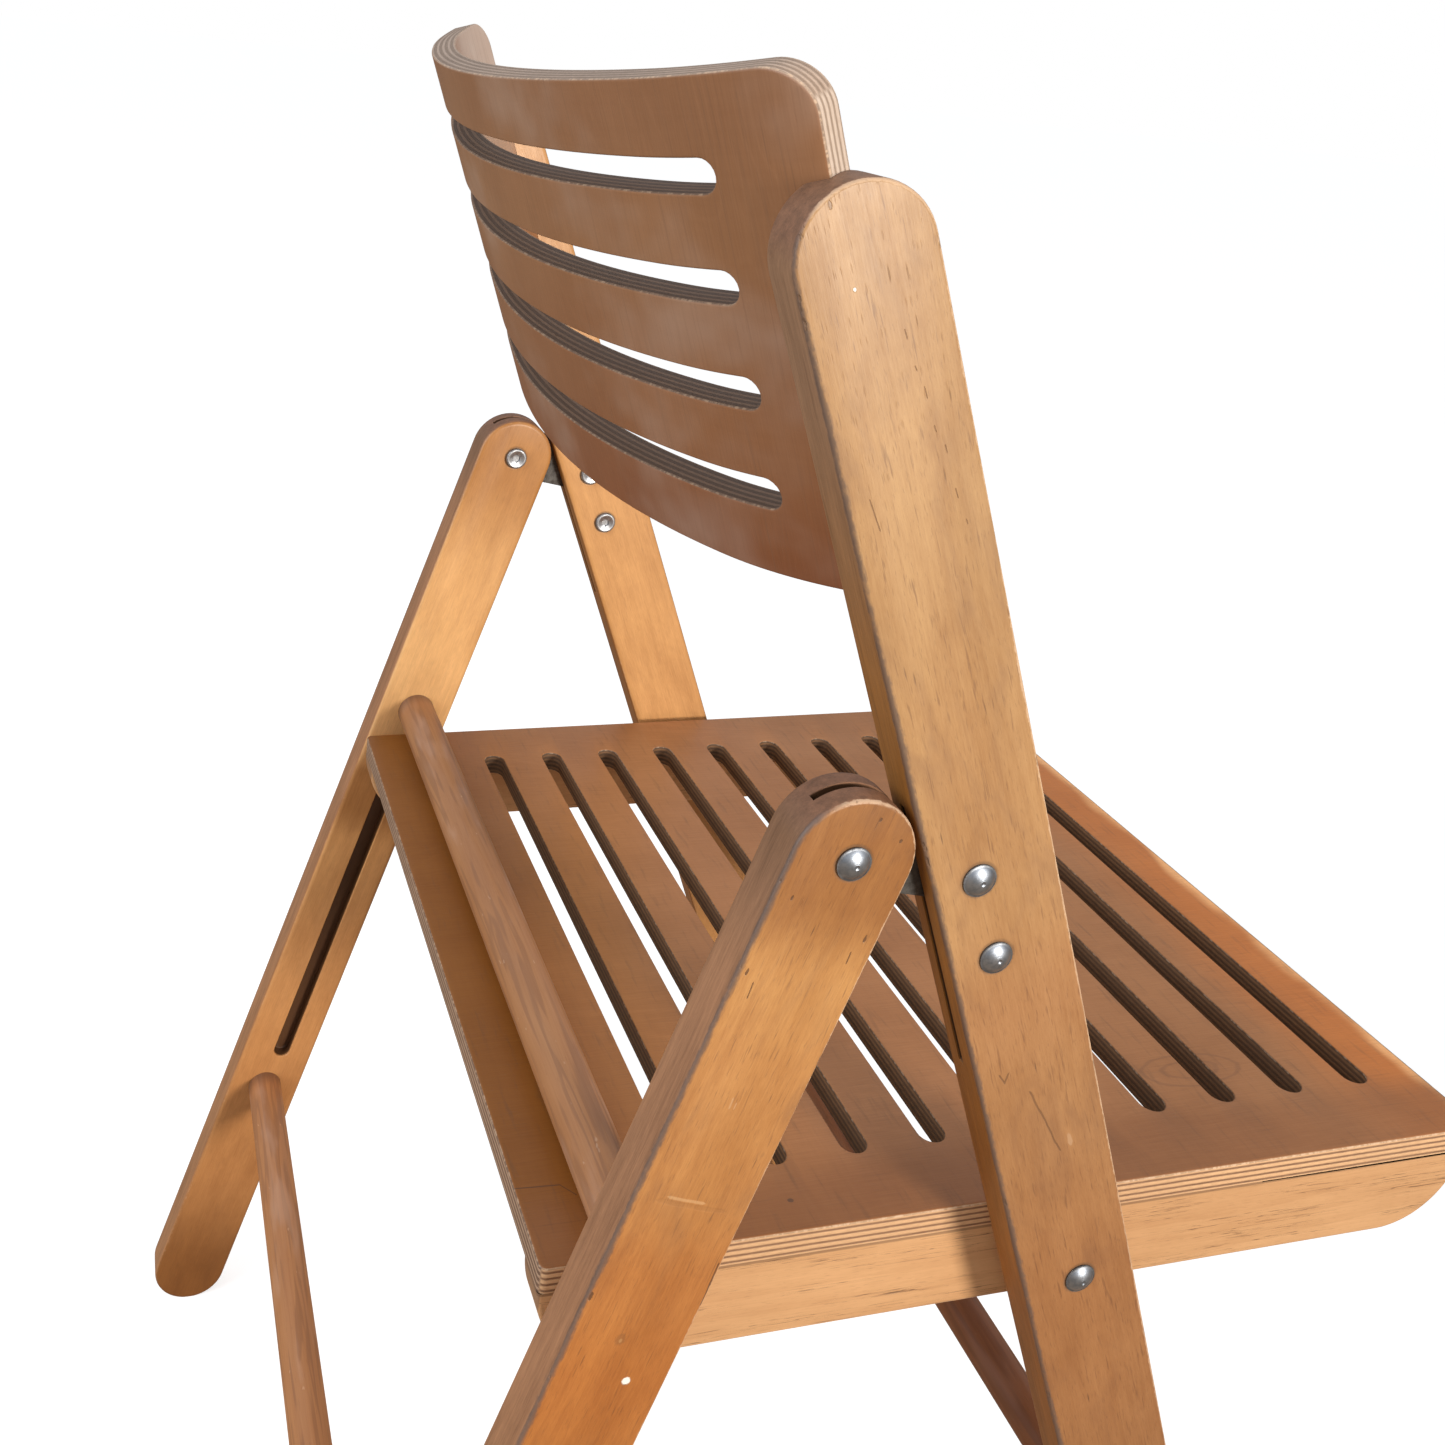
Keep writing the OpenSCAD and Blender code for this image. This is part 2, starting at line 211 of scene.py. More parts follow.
def s_of_x(x):
    ax = abs(x)
    if ax <= B_X1:
        s = B_R1 * math.asin(ax / B_R1)
    else:
        s = B_S1 + B_R2 * (math.asin(min(1, (ax - B_C2[0]) / B_R2)) - B_A1)
    return math.copysign(s, x)


def bend(s, h, t):
    """flat sheet (s across, h up the post, t from the rear face forwards) to the row frame, metres"""
    a = abs(s)
    if a <= B_S1:
        th = a / B_R1
        x, y = (B_R1 - t) * math.sin(th), B_C1[1] + (B_R1 - t) * math.cos(th)
    else:
        th = B_A1 + (a - B_S1) / B_R2
        x, y = B_C2[0] + (B_R2 - t) * math.sin(th), B_C2[1] + (B_R2 - t) * math.cos(th)
    x = math.copysign(x, s)
    z = h - B_AT
    org = side_point(B_AT, 0, P, PU, PN)
    b = (23.3 - 2.0) * D
    # local y to the rear, local z up the panel
    return Vector((x, org[0] + y * math.cos(b) + z * math.sin(b), org[1] - y * math.sin(b) + z * math.cos(b))) * MM


def loop_normals(pts, ccw=True):
    out = []
    n = len(pts)
    for i in range(n):
        a, b = Vector(pts[i - 1]), Vector(pts[(i + 1) % n])
        d = (b - a)
        if d.length < 1e-9:
            d = Vector((1, 0))
        d.normalize()
        out.append(Vector((-d.y, d.x)) if ccw else Vector((d.y, -d.x)))
    return out


def dense(pts, step):
    """closed loop with no side longer than step"""
    out = []
    for i, p in enumerate(pts):
        q = pts[(i + 1) % len(pts)]
        out.append(p)
        L = math.dist(p, q)
        k = int(L // step)
        for j in range(1, k + 1):
            f = j / (k + 1)
            out.append((p[0] + (q[0] - p[0]) * f, p[1] + (q[1] - p[1]) * f))
    return out


def arc(cx, cy, r, t0, t1, seg):
    return [(cx + r * math.cos(t0 + (t1 - t0) * i / seg), cy + r * math.sin(t0 + (t1 - t0) * i / seg)) for i in range(seg + 1)]


def rounded_rect(x0, y0, x1, y1, rs, seg=8):
    """counter-clockwise; rs = radii at (x1,y0), (x1,y1), (x0,y1), (x0,y0)"""
    pts = []
    for (cx, cy, t0), r in zip((((x1, y0, -math.pi / 2)), ((x1, y1, 0)), ((x0, y1, math.pi / 2)), ((x0, y0, math.pi))), rs):
        sx = -1 if cx == x1 else 1
        sy = 1 if cy == y0 else -1
        if r <= 0:
            pts.append((cx, cy))
        else:
            pts += arc(cx + sx * r, cy + sy * r, r, t0, t0 + math.pi / 2, seg)
    return pts


def stadium_x(cx0, cx1, cy, r, seg=10):
    """counter-clockwise slot along x"""
    return arc(cx1, cy, r, -math.pi / 2, math.pi / 2, seg) + arc(cx0, cy, r, math.pi / 2, 3 * math.pi / 2, seg)


def sheet_with_holes(outer, holes, t, r_low, r_top, k=4):
    """flat sheet with rounded arrises, lying in z 0..t. outer and holes are counter-clockwise (x, y) loops.
    r_low and r_top give the arris radius for a point of a loop: f(x, y, hole)."""
    bm = bmesh.new()
    loops_low, loops_top = [], []
    for hi, loop in enumerate([outer] + holes):
        hole = hi > 0
        inward = loop_normals(loop, True)
        if hole:
            inward = [-v for v in inward]
        rows = []
        for lev in range(k + 1):                      # lower arris, from the face out to the wall
            f = math.pi / 2 * lev / k
            row = []
            for p, nn in zip(loop, inward):
                r = r_low(p[0], p[1], hole)
                d = r * (1 - math.sin(f))
                row.append(bm.verts.new((p[0] + nn.x * d, p[1] + nn.y * d, r * (1 - math.cos(f)))))
            rows.append(row)
        for lev in range(k + 1):
            f = math.pi / 2 * lev / k
            row = []
            for p, nn in zip(loop, inward):
                r = r_top(p[0], p[1], hole)
                d = r * (1 - math.cos(f))
                row.append(bm.verts.new((p[0] + nn.x * d, p[1] + nn.y * d, t - r * (1 - math.sin(f)))))
            rows.append(row)
        n = len(loop)
        for a, b in zip(rows, rows[1:]):
            for i in range(n):
                j = (i + 1) % n
                bm.faces.new((a[i], a[j], b[j], b[i]))
        loops_low.append(rows[0])
        loops_top.append(rows[-1])
    for loops in (loops_low, loops_top):
        tri = tessellate_polygon([[v.co for v in lp] for lp in loops])
        flat = [v for lp in loops for v in lp]
        for a, b, c in tri:
            try:
                bm.faces.new((flat[a], flat[b], flat[c]))
            except ValueError:
                pass
    bmesh.ops.recalc_face_normals(bm, faces=bm.faces)
    return bm


def store(me, name, values):
    at = me.attributes.new(name, "FLOAT_VECTOR", "POINT")
    at.data.foreach_set("vector", [c for v in values for c in v])


def make_back_panel():
    outer_x = rounded_rect(-B_END, B_LOW, B_END, B_HIGH, (0, B_CR, B_CR, 0), 14)
    outer = [(s_of_x(x), h) for x, h in dense(outer_x, 6.0)]
    holes = []
    for i in range(4):
        sl = dense(stadium_x(-165.5, 165.5, 105.6 + 35.05 * i, 5.5, 10), 6.0)
        holes.append([(s_of_x(x), h) for x, h in sl])
    bm = sheet_with_holes(outer, holes, B_T, lambda x, y, h: 0.9, lambda x, y, h: 0.9)
    # strips narrow enough to bend
    smax = s_of_x(B_END)
    n = 116
    for i in range(1, n):
        s = -smax + 2 * smax * i / n
        geom = bm.verts[:] + bm.edges[:] + bm.faces[:]
        bmesh.ops.bisect_plane(bm, geom=geom, plane_co=(s, 0, 0), plane_no=(1, 0, 0), dist=0.02)
    bmesh.ops.remove_doubles(bm, verts=bm.verts, dist=0.002)
    flat = [v.co.copy() for v in bm.verts]
    for v in bm.verts:
        v.co = bend(v.co.x, v.co.y, v.co.z)
    ob = new_object("back_panel_bent_ply", bm, 40)
    store(ob.data, "flat", [f * MM for f in flat])
    return ob


def back_blank_cutter(bm, sgn):
    """the panel's outline through the post, a hair larger"""
    smax = s_of_x(B_END) + 0.1
    s0 = s_of_x(180.0)
    rings = []
    for i in range(13):
        s = s0 + (smax - s0) * i / 12
        rings.append([bend(sgn * s, B_LOW - 0.1, -0.1), bend(sgn * s, B_HIGH + 5, -0.1), bend(sgn * s, B_HIGH + 5, B_T + 0.1), bend(sgn * s, B_LOW - 0.1, B_T + 0.1)])
    rings_to_mesh(bm, rings)


# ------------------------------------------------------------------ posts and legs

PB1, PB2 = (-26.5, 39.5), (-58.9, 39.5)


def post_cut_kerf(bm, sgn):
    cyl(bm, side_point(-50.5, -1.8, P, PU, PN), 61, sgn * 204, sgn * 207, 220)


def post_cut_bores(bm, sgn):
    for b in (PB1, PB2):
        cyl(bm, side_point(b[0], b[1], P, PU, PN), 3.6, sgn * 195, sgn * 216, 32)
    cyl(bm, S, 3.1, sgn * 195, sgn * 216, 32)
    cyl(bm, side_point(-413, 45.5, P, PU, PN), 10.05, sgn * 195, sgn * 208.1, 64)


def leg_cut_kerf(bm, sgn):
    cyl(bm, side_point(18.8, 93.6, P, LU, LN), 111, sgn * 204, sgn * 207, 220)


def leg_cut_bores(bm, sgn):
    cyl(bm, P, 3.55, sgn * 195, sgn * 216, 32)
    for a, o, r in ((166.75, 1, 10.8), (437.5, 0, 10.05)):
        cyl(bm, side_point(-a, o, P, LU, LN), r, sgn * 195, sgn * 208.1, 72)


def leg_cut_groove(bm, sgn):
    pts = outline_stadium(-414.8 + 5.0, -194.5 - 5.0, 5.0, 14)
    rings = []
    # slightly chamfered mouth, straight walls, round floor corners
    for x, d in ((195.0, -0.6), (196.0, -0.35), (196.35, 0.0), (203.4, 0.0), (204.0, 0.6)):
        rings.append([world(sgn * x, p[0] + nn[0] * d, 2 + p[1] + nn[1] * d, P, LU, LN) for p, nn in pts])
    rings_to_mesh(bm, rings)


made = {}
for sgn, side in ((1, "left"), (-1, "right")):
    ob = board(side + "_post_board", -POST_LOW, POST_TOP, 45.5, P, PU, PN, sgn, (post_cut_kerf, post_cut_bores, back_blank_cutter))
    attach(ob, "frame")
    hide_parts(side + "_post")
    made[side + "_post"] = ob
    ob = board(side + "_leg_board", -LEG_LEN, 0, 0, P, LU, LN, sgn, (leg_cut_kerf, leg_cut_bores, leg_cut_groove))
    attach(ob, "rear_legs")
    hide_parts(side + "_rear_leg")
    made[side + "_leg"] = ob

back = make_back_panel()
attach(back, "frame")
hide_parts("back_panel")

# ------------------------------------------------------------------ seat

SEAT_HW, SEAT_REAR, SEAT_FRONT, SEAT_LOW, SEAT_TOP = 189.5, 201.1, 215.2, 1.8, 13.5
RAIL_H, RAIL_T, NOSE_R = 35.2, 18.0, 36.0


def make_seat():
    outer = dense(rounded_rect(-SEAT_HW, -SEAT_FRONT, SEAT_HW, SEAT_REAR, (6, 3, 3, 6), 8), 12.0)
    holes = [stadium_x(-158.7 + 5.75, 158.7 - 5.75, SEAT_REAR - 69.2 - 34.77 * i, 5.75, 12) for i in range(10)]
    for i, h in enumerate(holes):
        holes[i] = dense(h, 12.0)

    def top(x, y, hole):
        if hole:
            return 0.6
        near = max(0.0, min(1.0, (-SEAT_FRONT + 6.5 - y) / 5.0))   # 1 along the front edge
        return 0.9 + 4.1 * near

    bm = sheet_with_holes(outer, holes, SEAT_TOP - SEAT_LOW, lambda x, y, h: 0.8, top, 6)
    for v in bm.verts:
        v.co = v.co * MM
    ob = new_object("seat_slatted_ply", bm, 40)
    # the pivot bores graze the underside of the sheet
    for sgn in (1, -1):
        for r, x0, x1 in ((3.05, 170.5, 190.5), (3.8, 167.5, 171.5)):
            cb = bmesh.new()
            cyl(cb, (0.0, -SEAT_LOW), r, sgn * x0, sgn * x1, 32)
            boolean(ob, cb)
    finish_mesh(ob, 40)
    flat = [v.co.copy() for v in ob.data.vertices]
    for v in ob.data.vertices:
        v.co = world(v.co.x / MM, v.co.y / MM, SEAT_LOW + v.co.z / MM, S, SR, SN)
    store(ob.data, "flat", flat)
    return ob


seat = make_seat()
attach(seat, "seat")
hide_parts("seat_panel")


def make_rail(side, sgn):
    top, front = SEAT_LOW, -SEAT_FRONT + 8
    low = top - RAIL_H
    x1, x0 = SEAT_HW, SEAT_HW - RAIL_T
    prof = arc(front + NOSE_R, low + NOSE_R, NOSE_R, math.pi, 1.5 * math.pi, 28)
    prof += arc(SEAT_REAR - NOSE_R, low + NOSE_R, NOSE_R, -0.5 * math.pi, 0.0, 28) + [(SEAT_REAR, top), (front, top)]
    prof = dense(prof, 20.0)
    nrm = loop_normals(prof, True)
    # corner normals need a diagonal step so that the arris stays even
    r, k = 1.6, 4
    rings = []
    lev = [(x0 + r * (1 - math.sin(math.pi / 2 * (1 - i / k))), r * (1 - math.cos(math.pi / 2 * (1 - i / k)))) for i in range(k + 1)]
    lev += [(x1 - r * (1 - math.sin(math.pi / 2 * i / k)), r * (1 - math.cos(math.pi / 2 * i / k))) for i in range(k + 1)]
    for x, d in lev:
        ring = []
        for p, nn in zip(prof, nrm):
            dy = nn.x * d
            dz = nn.y * d
            if p[1] >= top - 1e-6:      # no rounding against the plywood
                dz = 0.0
            if abs(p[0] - SEAT_REAR) < 1e-6:
                dy = -d if p[1] < top - 1e-6 else -d
            ring.append(world(sgn * x, p[0] + dy, p[1] + dz, S, SR, SN))
        rings.append(ring)
    bm = bmesh.new()
    rings_to_mesh(bm, rings)
    ob = new_object(side + "_rail_board", bm)
    cb = bmesh.new()
    cyl(cb, S, 3.05, sgn * 170, sgn * 191, 32)
    boolean(ob, cb)
    g = centre(side + "_guide_pin")
    cb = bmesh.new()
    cyl(cb, (g.y / MM, g.z / MM), 4.52, sgn * (SEAT_HW - 12.1), sgn * 191, 32)
    boolean(ob, cb)
    finish_mesh(ob)
    return ob


for sgn, side in ((1, "left"), (-1, "right")):
    ob = make_rail(side, sgn)
    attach(ob, "seat")
    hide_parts(side + "_seat_rail")
    made[side + "_rail"] = ob

# ------------------------------------------------------------------ dowels


def make_dowel(name, c, r):
    seg = 72
    bm = bmesh.new()
    xs = [-208.0, -207.0] + [-196 + 392.0 * i / 98 for i in range(99)] + [207.0, 208.0]
    rings = []
    for x in xs:
        rr = r - 1.0 if abs(x) > 207.5 else r
        rings.append([Vector((x, c[0] + rr * math.cos(2 * math.pi * i / seg), c[1] + rr * math.sin(2 * math.pi * i / seg))) * MM for i in range(seg)])
    rings_to_mesh(bm, rings)
    return new_object(name, bm)


dowels = {}
for name, node, c, r, body in (
    ("upper_dowel_rod", "seat_stop_dowel", side_point(-166.75, 1, P, LU, LN), 10.75, "rear_legs"),
    ("lower_dowel_rod", "lower_rear_dowel", side_point(-437.5, 0, P, LU, LN), 10.0, "rear_legs"),
    ("front_dowel_rod", "front_dowel", side_point(-413, 45.5, P, PU, PN), 10.0, "frame"),
):
    ob = make_dowel(name, c, r)
    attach(ob, body)
    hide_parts(node)
    dowels[node] = (ob, c)

# ------------------------------------------------------------------ fasteners


def lathe(bm, c, x0, sgn, prof, seg=56):
    """prof = [(distance outwards from x0, radius)], revolved about the X axis through c; a radius of zero makes a pole
    that closes the end
    """
    rings, poles = [], {}
    rows = []
    for d, r in prof:
        x = sgn * (x0 + d)
        if r < 1e-6:
            rows.append([bm.verts.new(Vector((x, c[0], c[1])) * MM)])
        else:
            rows.append([bm.verts.new(Vector((x, c[0] + r * math.cos(2 * math.pi * i / seg), c[1] + r * math.sin(2 * math.pi * i / seg))) * MM) for i in range(seg)])
    for a, b in zip(rows, rows[1:]):
        if len(a) == 1 and len(b) == 1:
            continue
        for i in range(seg):
            j = (i + 1) % seg
            if len(a) == 1:
                bm.faces.new((a[0], b[j], b[i]))
            elif len(b) == 1:
                bm.faces.new((a[i], a[j], b[0]))
            else:
                bm.faces.new((a[i], a[j], b[j], b[i]))


def dome_profile(barrel, tip, gap):
    """from the tip of the barrel to the apex of the dome"""
    R = (36.0 + 2.6 ** 2) / (2 * 2.6)
    face = 0.0
    out = [(tip, 0.0), (tip, barrel - 0.4), (tip + 0.4, barrel), (face + 0.0, barrel), (face + 0.0, 5.55), (face + 0.08, 5.85), (face + 0.32, 6.0), (face + 0.55, 5.93)]
    # dome proper, blended to a low rim
    for i in range(1, 15):
        r = 5.86 * (1 - i / 15)
        z = 2.6 - R + math.sqrt(R * R - r * r)
        out.append((max(z, face + 0.56 + 0.0), r))
    # a small raised ring with a dimple at the apex
    out = [p for p in out if not (p[1] < 1.5 and p[0] > 2)]
    out += [(2.50, 1.45), (2.46, 1.30), (2.56, 1.12), (2.58, 0.92), (2.50, 0.72), (2.34, 0.45), (2.28, 0.0)]
    return out


def make_cap_nuts(name, node, places, barrel, body):
    bm = bmesh.new()
    for c, face, tip in places:
        for sgn in (1, -1):
            lathe(bm, c, face, sgn, dome_profile(barrel, tip - face, 0))
    ob = new_object(name, bm, 50)
    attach(ob, body)
    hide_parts(node)
    return ob


def bolt_profile(tip, head=6.0, h=2.2):
    """inner bolt: measured inwards from the face; head towards the middle of the chair"""
    return [(-tip, 0.0), (-tip, 2.0), (-tip + 0.4, 2.4), (0.0, 2.4), (0.0, head - 0.35), (0.12, head - 0.08), (0.45, head), (h - 0.75, head), (h - 0.35, head - 0.12), (h - 0.08, head - 0.5), (h, head - 1.0),
            (h - 0.02, head - 1.45), (h - 0.25, head - 1.9), (h - 0.62, 2.35)]


def make_bolts(name, node, places, body, head=6.0):
    bm = bmesh.new()
    for c, face, tip in places:
        for sgn in (1, -1):
            prof = bolt_profile(tip - face, head)
            if head < 5:
                prof = [(-(tip - face), 0.0), (-(tip - face), 2.0), (-(tip - face) + 0.4, 2.4), (0.0, 2.4), (0.0, head - 0.3), (0.3, head), (1.6, head), (2.0, head - 0.3), (2.2, head - 0.8), (2.2, 1.9), (2.1, 1.75)]
            # revolve with the outward distance running towards -X for sgn = +1
            seg = 48
            rows = []
            for d, r in prof:
                x = sgn * (face - d)
                if r < 1e-6:
                    rows.append([bm.verts.new(Vector((x, c[0], c[1])) * MM)])
                else:
                    rows.append([bm.verts.new(Vector((x, c[0] + r * math.cos(2 * math.pi * (i + 0.5) / seg), c[1] + r * math.sin(2 * math.pi * (i + 0.5) / seg))) * MM) for i in range(seg)])
            # hex socket: the ring narrows to a hexagon and goes down to a flat floor
            af = 2.0 if head > 5 else 1.5
            d0 = prof[-1][0]
            for d, k in ((d0 - 0.05, 1.06), (d0 - 0.25, 1.0), (0.55, 1.0)):
                ring = []
                for i in range(seg):
                    t = 2 * math.pi * (i + 0.5) / seg
                    q = ((t + math.pi / 6) % (math.pi / 3)) - math.pi / 6
                    r = af * k / math.cos(q)
                    ring.append(bm.verts.new(Vector((sgn * (face - d), c[0] + r * math.cos(t), c[1] + r * math.sin(t))) * MM))
                rows.append(ring)
            rows.append([bm.verts.new(Vector((sgn * (face - 0.45), c[0], c[1])) * MM)])
            for a, b in zip(rows, rows[1:]):
                for i in range(seg):
                    j = (i + 1) % seg
                    if len(a) == 1:
                        bm.faces.new((a[0], b[j], b[i]))
                    elif len(b) == 1:
                        bm.faces.new((a[i], a[j], b[0]))
                    else:
                        bm.faces.new((a[i], a[j], b[j], b[i]))
    ob = new_object(name, bm, 40)
    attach(ob, body)
    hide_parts(node)
    return ob


pb1, pb2 = side_point(PB1[0], PB1[1], P, PU, PN), side_point(PB2[0], PB2[1], P, PU, PN)
metal = []
metal.append(make_cap_nuts("plate_dome_nuts", "plate_cap_nuts", [(pb1, XO, XI + 3), (pb2, XO, XI + 3)], 3.5, "frame"))
metal.append(make_cap_nuts("leg_pivot_dome_nuts", "leg_pivot_cap_nuts", [(P, XO + 0.2, XI + 3)], 3.5, "frame"))
metal.append(make_cap_nuts("seat_pivot_dome_nuts", "seat_pivot_cap_nuts", [(S, XO, 174.5)], 3.0, "frame"))
metal.append(make_bolts("plate_socket_bolts", "plate_bolts", [(pb1, XI, XO - 3), (pb2, XI, XO - 3)], "frame"))
metal.append(make_bolts("leg_pivot_socket_bolts", "leg_pivot_bolts", [(P, XI - 0.2, XO - 3)], "frame"))
metal.append(make_bolts("seat_pivot_socket_bolts", "seat_pivot_bolts", [(S, 171.3, 197.5)], "frame", 3.5))

def give(ob, m):
    ob.data.materials.clear()
    ob.data.materials.append(m)


# ------------------------------------------------------------------ shader helpers


class F:
    """a number that varies over a surface; arithmetic on it makes Math nodes"""

    def __init__(self, sh, sock):
        self.sh, self.sock = sh, sock

    def _m(self, op, *rest, swap=False, clamp=False):
        n = self.sh.t.nodes.new("ShaderNodeMath")
        n.operation = op
        n.use_clamp = clamp
        ins = [self] + list(rest)
        if swap:
            ins = [ins[1], ins[0]]
        for k, v in enumerate(ins):
            self.sh.put(n.inputs[k], v)
        return F(self.sh, n.outputs[0])

    def __add__(self, o): return self._m("ADD", o)
    def __radd__(self, o): return self._m("ADD", o)
    def __sub__(self, o): return self._m("SUBTRACT", o)
    def __rsub__(self, o): return self._m("SUBTRACT", o, swap=True)
    def __mul__(self, o): return self._m("MULTIPLY", o)
    def __rmul__(self, o): return self._m("MULTIPLY", o)
    def __truediv__(self, o): return self._m("DIVIDE", o)
    def __abs__(self): return self._m("ABSOLUTE")
    def sqrt(self): return self._m("SQRT")
    def sin(self): return self._m("SINE")
    def sign(self): return self._m("SIGN")
    def fract(self): return self._m("FRACT")
    def floor(self): return self._m("FLOOR")
    def max(self, o): return self._m("MAXIMUM", o)
    def min(self, o): return self._m("MINIMUM", o)
    def pow(self, o): return self._m("POWER", o)
    def clamp(self): return self._m("ADD", 0.0, clamp=True)

    def step(self, lo, hi):
        """0 below lo, 1 above hi, smooth between; lo may be above hi"""
        n = self.sh.t.nodes.new("ShaderNodeMapRange")
        n.interpolation_type = "SMOOTHSTEP"
        a, b, c, d = (lo, hi, 0.0, 1.0) if lo <= hi else (hi, lo, 1.0, 0.0)
        self.sh.put(n.inputs["Value"], self)
        for key, v in (("From Min", a), ("From Max", b), ("To Min", c), ("To Max", d)):
            n.inputs[key].default_value = v
        return F(self.sh, n.outputs["Result"])


class Shade:
    def __init__(self, name):
        self.m = bpy.data.materials.new(name)
        self.m.use_nodes = True
        self.t = self.m.node_tree
        self.b = self.t.nodes["Principled BSDF"]

    def put(self, inp, v):
        if isinstance(v, F):
            v = v.sock
        if isinstance(v, bpy.types.NodeSocket):
            self.t.links.new(v, inp)
        elif isinstance(v, (tuple, list)) and inp.type == "RGBA" and len(v) == 3:
            inp.default_value = (*v, 1.0)
        else:
            inp.default_value = v

    def split(self, sock):
        n = self.t.nodes.new("ShaderNodeSeparateXYZ")
        self.t.links.new(sock, n.inputs[0])
        return [F(self, n.outputs[k]) for k in range(3)]

    def place(self):
        """position on the object, millimetres"""
        n = self.t.nodes.new("ShaderNodeTexCoord")
        return [v * 1000.0 for v in self.split(n.outputs["Object"])]

    def attribute(self, name):
        n = self.t.nodes.new("ShaderNodeAttribute")
        n.attribute_name = name
        n.attribute_type = "GEOMETRY"
        return [v * 1000.0 for v in self.split(n.outputs["Vector"])]

    def vec(self, x, y, z):
        n = self.t.nodes.new("ShaderNodeCombineXYZ")
        for k, v in enumerate((x, y, z)):
            self.put(n.inputs[k], v)
        return n.outputs[0]

    def noise(self, x, y, z, detail=2.0, rough=0.5, dist=0.0):
        n = self.t.nodes.new("ShaderNodeTexNoise")
        self.t.links.new(self.vec(x, y, z), n.inputs["Vector"])
        n.inputs["Scale"].default_value = 1.0
        n.inputs["Detail"].default_value = detail
        n.inputs["Roughness"].default_value = rough
        n.inputs["Distortion"].default_value = dist
        return F(self, n.outputs[0])

    def cells(self, x, y, z, rand=1.0):
        """distance to the nearest cell point, and that cell's random number"""
        n = self.t.nodes.new("ShaderNodeTexVoronoi")
        self.t.links.new(self.vec(x, y, z), n.inputs["Vector"])
        n.inputs["Scale"].default_value = 1.0
        n.inputs["Randomness"].default_value = rand
        c = self.split(n.outputs["Color"])
        return F(self, n.outputs["Distance"]), c[0], c[1]

    def mix(self, f, a, b, kind="MIX"):
        n = self.t.nodes.new("ShaderNodeMix")
        n.data_type = "RGBA"
        n.blend_type = kind
        n.clamp_factor = True
        self.put(n.inputs[0], f)
        self.put(n.inputs[6], a)
        self.put(n.inputs[7], b)
        return n.outputs[2]

    def finish(self, colour, rough, height, dist=0.0001, strength=1.0, **consts):
        self.put(self.b.inputs["Base Color"], colour)
        self.put(self.b.inputs["Roughness"], rough)
        n = self.t.nodes.new("ShaderNodeBump")
        n.inputs["Strength"].default_value = strength
        n.inputs["Distance"].default_value = dist
        self.put(n.inputs["Height"], height)
        self.t.links.new(n.outputs[0], self.b.inputs["Normal"])
        for k, v in consts.items():
            self.b.inputs[k.replace("_", " ")].default_value = v
        return self.m


def grain(sh, A, C, X, ring_c, ring_x, period, seed, fleck=1.0, long_cracks=False):
    """wood figure for a board whose fibres run along A. Everything in mm; returns the parts of the figure"""
    g = {}
    sA = A + seed * 71.3
    w1 = sh.noise(sA * 0.0034, C * 0.010, X * 0.010, 1.0)
    w2 = sh.noise(sA * 0.017, C * 0.055, X * 0.055 + seed, 1.0)
    dx, dc = X - ring_x, C - ring_c
    rr = (dx * dx + dc * dc).sqrt() + (w1 - 0.5) * 24.0 + (w2 - 0.5) * 2.4
    k = rr / period
    f = k.fract()
    strong = sh.noise(k * 0.45, seed, 0.0, 0.0).step(0.35, 0.75)
    g["late"] = f.step(0.25, 0.90) * f.step(1.0, 0.93) * (strong * 0.75 + 0.25)
    g["streak"] = sh.noise(sA * 0.042, C * 1.35, X * 1.35, 3.0, 0.62)
    g["fibre"] = sh.noise(sA * 0.15, C * 3.8, X * 3.8, 2.0, 0.6)
    g["cloud"] = sh.noise(sA * 0.0095, C * 0.045, X * 0.045, 2.0, 0.55)
    g["mottle"] = sh.noise(sA * 0.085, C * 0.15, X * 0.15, 2.0, 0.6)
    # short thin dark flecks, grouped
    d, r1, r2 = sh.cells(sA / 21.0, C / 2.1, X / 2.1)
    group = sh.noise(sA * 0.011, C * 0.06, X * 0.06 + 9.0, 1.0).step(0.42, 0.68)
    g["fleck"] = d.step(0.17, 0.05) * r1.step(0.60, 0.72) * (group * 0.85 + 0.15) * fleck
    d2, q1, q2 = sh.cells(sA / 7.0, C / 0.9, X / 0.9)
    g["pore"] = d2.step(0.33, 0.12) * q1.step(0.55, 0.75)
    if long_cracks:
        d3, s1, s2 = sh.cells(sA / 55.0, C / 4.2, X / 6.0)
        g["crack"] = d3.step(0.16, 0.04) * s1.step(0.45, 0.6)
    return g


def spot(sh, A, C, a0, c0, ra, rc, rag=0.0, ragsize=1.0):
    """1 inside an ellipse at (a0, c0), with a ragged edge"""
    da, dc = (A - a0) / ra, (C - c0) / rc
    q = (da * da + dc * dc).sqrt()
    if rag:
        q = q + (sh.noise(A * ragsize, C * ragsize, 3.0, 2.0) - 0.5) * rag
    return q.step(1.15, 0.75)


def stroke(sh, A, C, a0, c0, a1, c1, w, rag=0.6, fade=0.5):
    """1 along a thin, slightly wandering line from (a0, c0) to (a1, c1)"""
    L = math.hypot(a1 - a0, c1 - c0)
    ua, uc = (a1 - a0) / L, (c1 - c0) / L
    along = (A - a0) * ua + (C - c0) * uc
    off = (C - c0) * ua - (A - a0) * uc + (sh.noise(A * 0.12, C * 0.12, 5.0, 1.0) - 0.5) * rag
    over = (along * -1.0).max(along - L).max(0.0)
    return (abs(off) + over * fade).step(w, w * 0.35)


